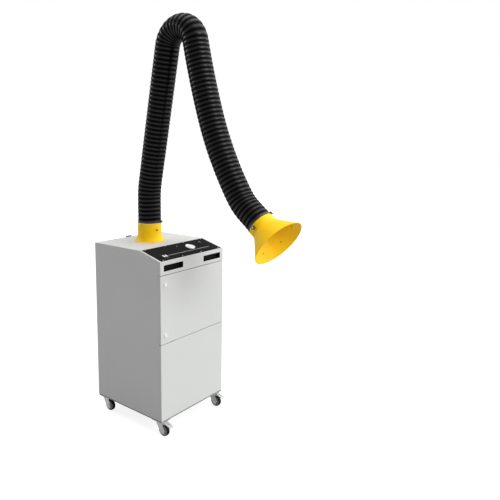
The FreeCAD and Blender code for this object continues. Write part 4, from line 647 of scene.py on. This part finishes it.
rib_root = 0.0757
rib_top = 0.0776
rib_sides = 56
hose_wall = 0.0014
rib_shape = [(0.00, 0.0), (0.08, 0.03), (0.17, 0.22), (0.26, 0.57), (0.35, 0.87), (0.44, 0.98)]
rib_shape += [(0.50, 1.0), (0.56, 0.98), (0.65, 0.87), (0.74, 0.57), (0.83, 0.22), (0.92, 0.03)]
rib_shape += [(1.00, 0.0)]
stretches = [
    ("hose_shoulder_bend", 10, 2),
    ("hose_lower_leg", 32, 1),
    ("hose_elbow_bend", 12, 2),
    ("hose_forearm_leg", 36, 2),
    ("hose_wrist_bend", 8, 2),
]
start_length = 0.0
first_run = 0
hose_pieces = {}
for node, ribs, run_count in stretches:
    stretch_length = sum(length for length, _ in runs[first_run:first_run + run_count])
    first_run += run_count
    rib = stretch_length / ribs
    rib_rings = [(rib_root + (rib_top - rib_root) * rise, rib * share) for share, rise in rib_shape]
    piece = turned_piece(node + "_skin", rib_rings, rib_sides)
    # Each point's crest share, from root to top, keys the painted shade in the grooves.
    crest = piece.data.attributes.new("crest", "FLOAT", "POINT")
    for vertex, value in zip(piece.data.vertices, crest.data):
        value.value = (math.hypot(vertex.co.x, vertex.co.y) - rib_root) / (rib_top - rib_root)
    placed_by(piece, Matrix.Translation((0, 0, start_length)))
    apply_modifier(
        piece, "ARRAY", count=ribs, use_relative_offset=False, use_constant_offset=True,
        constant_offset_displace=(0, 0, rib), use_merge_vertices=True, merge_threshold=0.0001,
    )
    along = piece.data.attributes.new("along", "FLOAT", "POINT")
    for vertex, value in zip(piece.data.vertices, along.data):
        value.value = vertex.co.z
    apply_modifier(piece, "CURVE", object=hose_line, deform_axis="POS_Z")
    apply_modifier(piece, "SOLIDIFY", thickness=hose_wall, offset=-1)
    smooth(piece, angle=60)
    take_place(piece, node, hose_black)
    hose_pieces[node] = piece
    start_length += stretch_length
bpy.data.objects.remove(hose_line)
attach(hose_pieces["hose_lower_leg"], "lower_arm")
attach(hose_pieces["hose_forearm_leg"], "forearm")


# Hose clamps: thin steel bands, drawn round the ends of the hose by a screw in a small housing,
# one over the spigot at the collar and one at the hood. Their steel is painted near black: painted
# dark reflection.

band_steel_painted_dark = Finish("band_steel_painted_dark", {"Metallic": 1.0})
band_drift = band_steel_painted_dark.grain(0.01, 2.0)
# Near black steel: a painted dark reflection, in place of the white surround that plated bands
# would mirror.
band_steel_painted_dark.coloured(band_drift, (0.045, 0.045, 0.046), (0.08, 0.08, 0.081))
band_steel_painted_dark.give("Roughness", 0.26 + 0.12 * band_drift)
for node in ("lower_hose_clamp", "hood_clamp"):
    worked(node, band_steel_painted_dark, fold=0.0004, cut=0.0002)


# Arm inside the hose: a plated steel bracket across the turning spigot, two legs and the hood's
# link in dark coated steel, and the plated pins that they turn on.

for node in ("shoulder_bracket", "shoulder_pin", "elbow_pin", "wrist_pin"):
    worked(node, zinc, fold=0.0006)
for node in ("lower_arm", "forearm", "hood_link"):
    worked(node, dark_metal, fold=0.001)


# Hood: a bell with a folded rim, spun from sheet and coated yellow like the collar. A bolt at each
# side of its neck holds it to the arm's link, and the bolts' plated ends stand out.

worked("hood_bell", yellow_coat, fold=0.0006)
worked("hood_fasteners", dark_metal, fold=0.0008)
bolt_forward = 0.94936
bolt_height = 1.36332
bolt_reach = 0.0873
bolt_rings = [(0.0052, 0.0), (0.0052, 0.0014), (0.0044, 0.0021), (0.0024, 0.0025), (0.0004, 0.0026)]
bolt_line = Matrix.Translation(arm_frame @ Vector((bolt_forward, 0, bolt_height)))
bolt_line = bolt_line @ Matrix.Rotation(arm_turn, 4, "Z")
for hand, side in (("left", -1), ("right", 1)):
    bolt_end = turned_piece("hood_bolt_end_" + hand, bolt_rings, sides=32, closed=True)
    turn = Matrix.Rotation(math.radians(-90 * side), 4, "X")
    placed_by(bolt_end, bolt_line @ (Matrix.Translation((0, bolt_reach * side, 0)) @ turn))
    bolt_end.data.materials.append(zinc.material)
    smooth(bolt_end)
    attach(bolt_end, "hood")


# Casters: pressed zinc forks that swivel under plates bolted to the pan, grey moulded wheels with
# black tyres, and brake pedals on the front pair.

wheel_grey = Finish("wheel_grey", {"Specular IOR Level": 0.45})
wheel_drift = wheel_grey.grain(0.01, 2.0)
wheel_grey.coloured(wheel_drift, (0.30, 0.305, 0.31), (0.38, 0.385, 0.39))
wheel_grey.give("Roughness", 0.42 + 0.15 * wheel_drift)
tyre_black = Finish("tyre_black", {"IOR": 1.2})
tyre_dust = tyre_black.grain(0.008, 3.0)
tyre_black.coloured(tyre_dust, (0.004, 0.004, 0.004), (0.010, 0.010, 0.010))
tyre_black.give("Roughness", 0.55 + 0.2 * tyre_dust)
tyre_black.raised(tyre_black.grain(0.0015, 2.0), 0.0001)
caster_zinc = Finish("caster_zinc", {"Metallic": 1.0})
caster_spangle = caster_zinc.grain(0.01, 3.0)
caster_zinc.coloured(caster_spangle, (0.45, 0.45, 0.455), (0.62, 0.62, 0.625))
caster_zinc.give("Roughness", 0.3 + 0.15 * caster_spangle)
axle_height = 0.0375
front_axle = -0.283
rear_axle = 0.227
tyre_bore = 0.0272
worked("caster_plates", caster_zinc, fold=0.0008)
for corner, axle in (
    ("front_left", front_axle), ("front_right", front_axle),
    ("rear_left", rear_axle), ("rear_right", rear_axle),
):
    worked("caster_fork_" + corner, caster_zinc, fold=0.0008)
    wheel = worked("caster_wheel_" + corner, wheel_grey, fold=0.001)
    wheel.data.materials.append(tyre_black.material)
    for face in wheel.data.polygons:
        if math.hypot(face.center.y - axle, face.center.z - axle_height) > tyre_bore:
            face.material_index = 1
for corner in ("front_left", "front_right"):
    worked("brake_pedal_" + corner, caster_zinc, fold=0.0008)


# Hose bends: each hose piece that a joint bends is cut into thin slices across its length, between
# two distances along the hose, and joined whole again.


def bend_slices(piece, inner_body, outer_body, first, last, slices):
    """Cuts a hose piece into slices across its length, between two distances along the hose, and
    joins them again.
    """
    cut_off = []
    for number in range(slices):
        low = first + (last - first) * number / slices
        high = first + (last - first) * (number + 1) / slices
        part = piece
        if number < slices - 1:
            select_only(piece)
            bpy.ops.object.mode_set(mode="EDIT")
            bpy.ops.mesh.select_mode(type="FACE")
            bpy.ops.mesh.select_all(action="DESELECT")
            bpy.ops.object.mode_set(mode="OBJECT")
            along = piece.data.attributes["along"].data
            for face in piece.data.polygons:
                reached = sum(along[corner].value for corner in face.vertices)
                face.select = reached < high * len(face.vertices)
            bpy.ops.object.mode_set(mode="EDIT")
            bpy.ops.mesh.separate(type="SELECTED")
            bpy.ops.object.mode_set(mode="OBJECT")
            part = next(other for other in bpy.context.selected_objects if other != piece)
            cut_off.append(part)
        middle = (low + high) / 2
        spot, ahead = along_hose(middle)
        arm_frame @ (spot - ahead * (middle - first))
        arm_frame @ (spot + ahead * (last - middle))
        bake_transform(part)
    select_only(piece)
    for part in cut_off:
        part.select_set(True)
    bpy.ops.object.join()
    bpy.ops.object.mode_set(mode="EDIT")
    bpy.ops.mesh.select_all(action="SELECT")
    bpy.ops.mesh.remove_doubles(threshold=0.000001)
    bpy.ops.object.mode_set(mode="OBJECT")


shoulder_bend = (0.156, 0.276)
elbow_bend = (1.136, 1.136 + fold_length)
wrist_bend = (2.443, 2.539)
bend_slices(hose_pieces["hose_shoulder_bend"], "turntable", "lower_arm", *shoulder_bend, slices=12)
bend_slices(hose_pieces["hose_elbow_bend"], "lower_arm", "forearm", *elbow_bend, slices=36)
bend_slices(hose_pieces["hose_wrist_bend"], "forearm", "hood", *wrist_bend, slices=12)
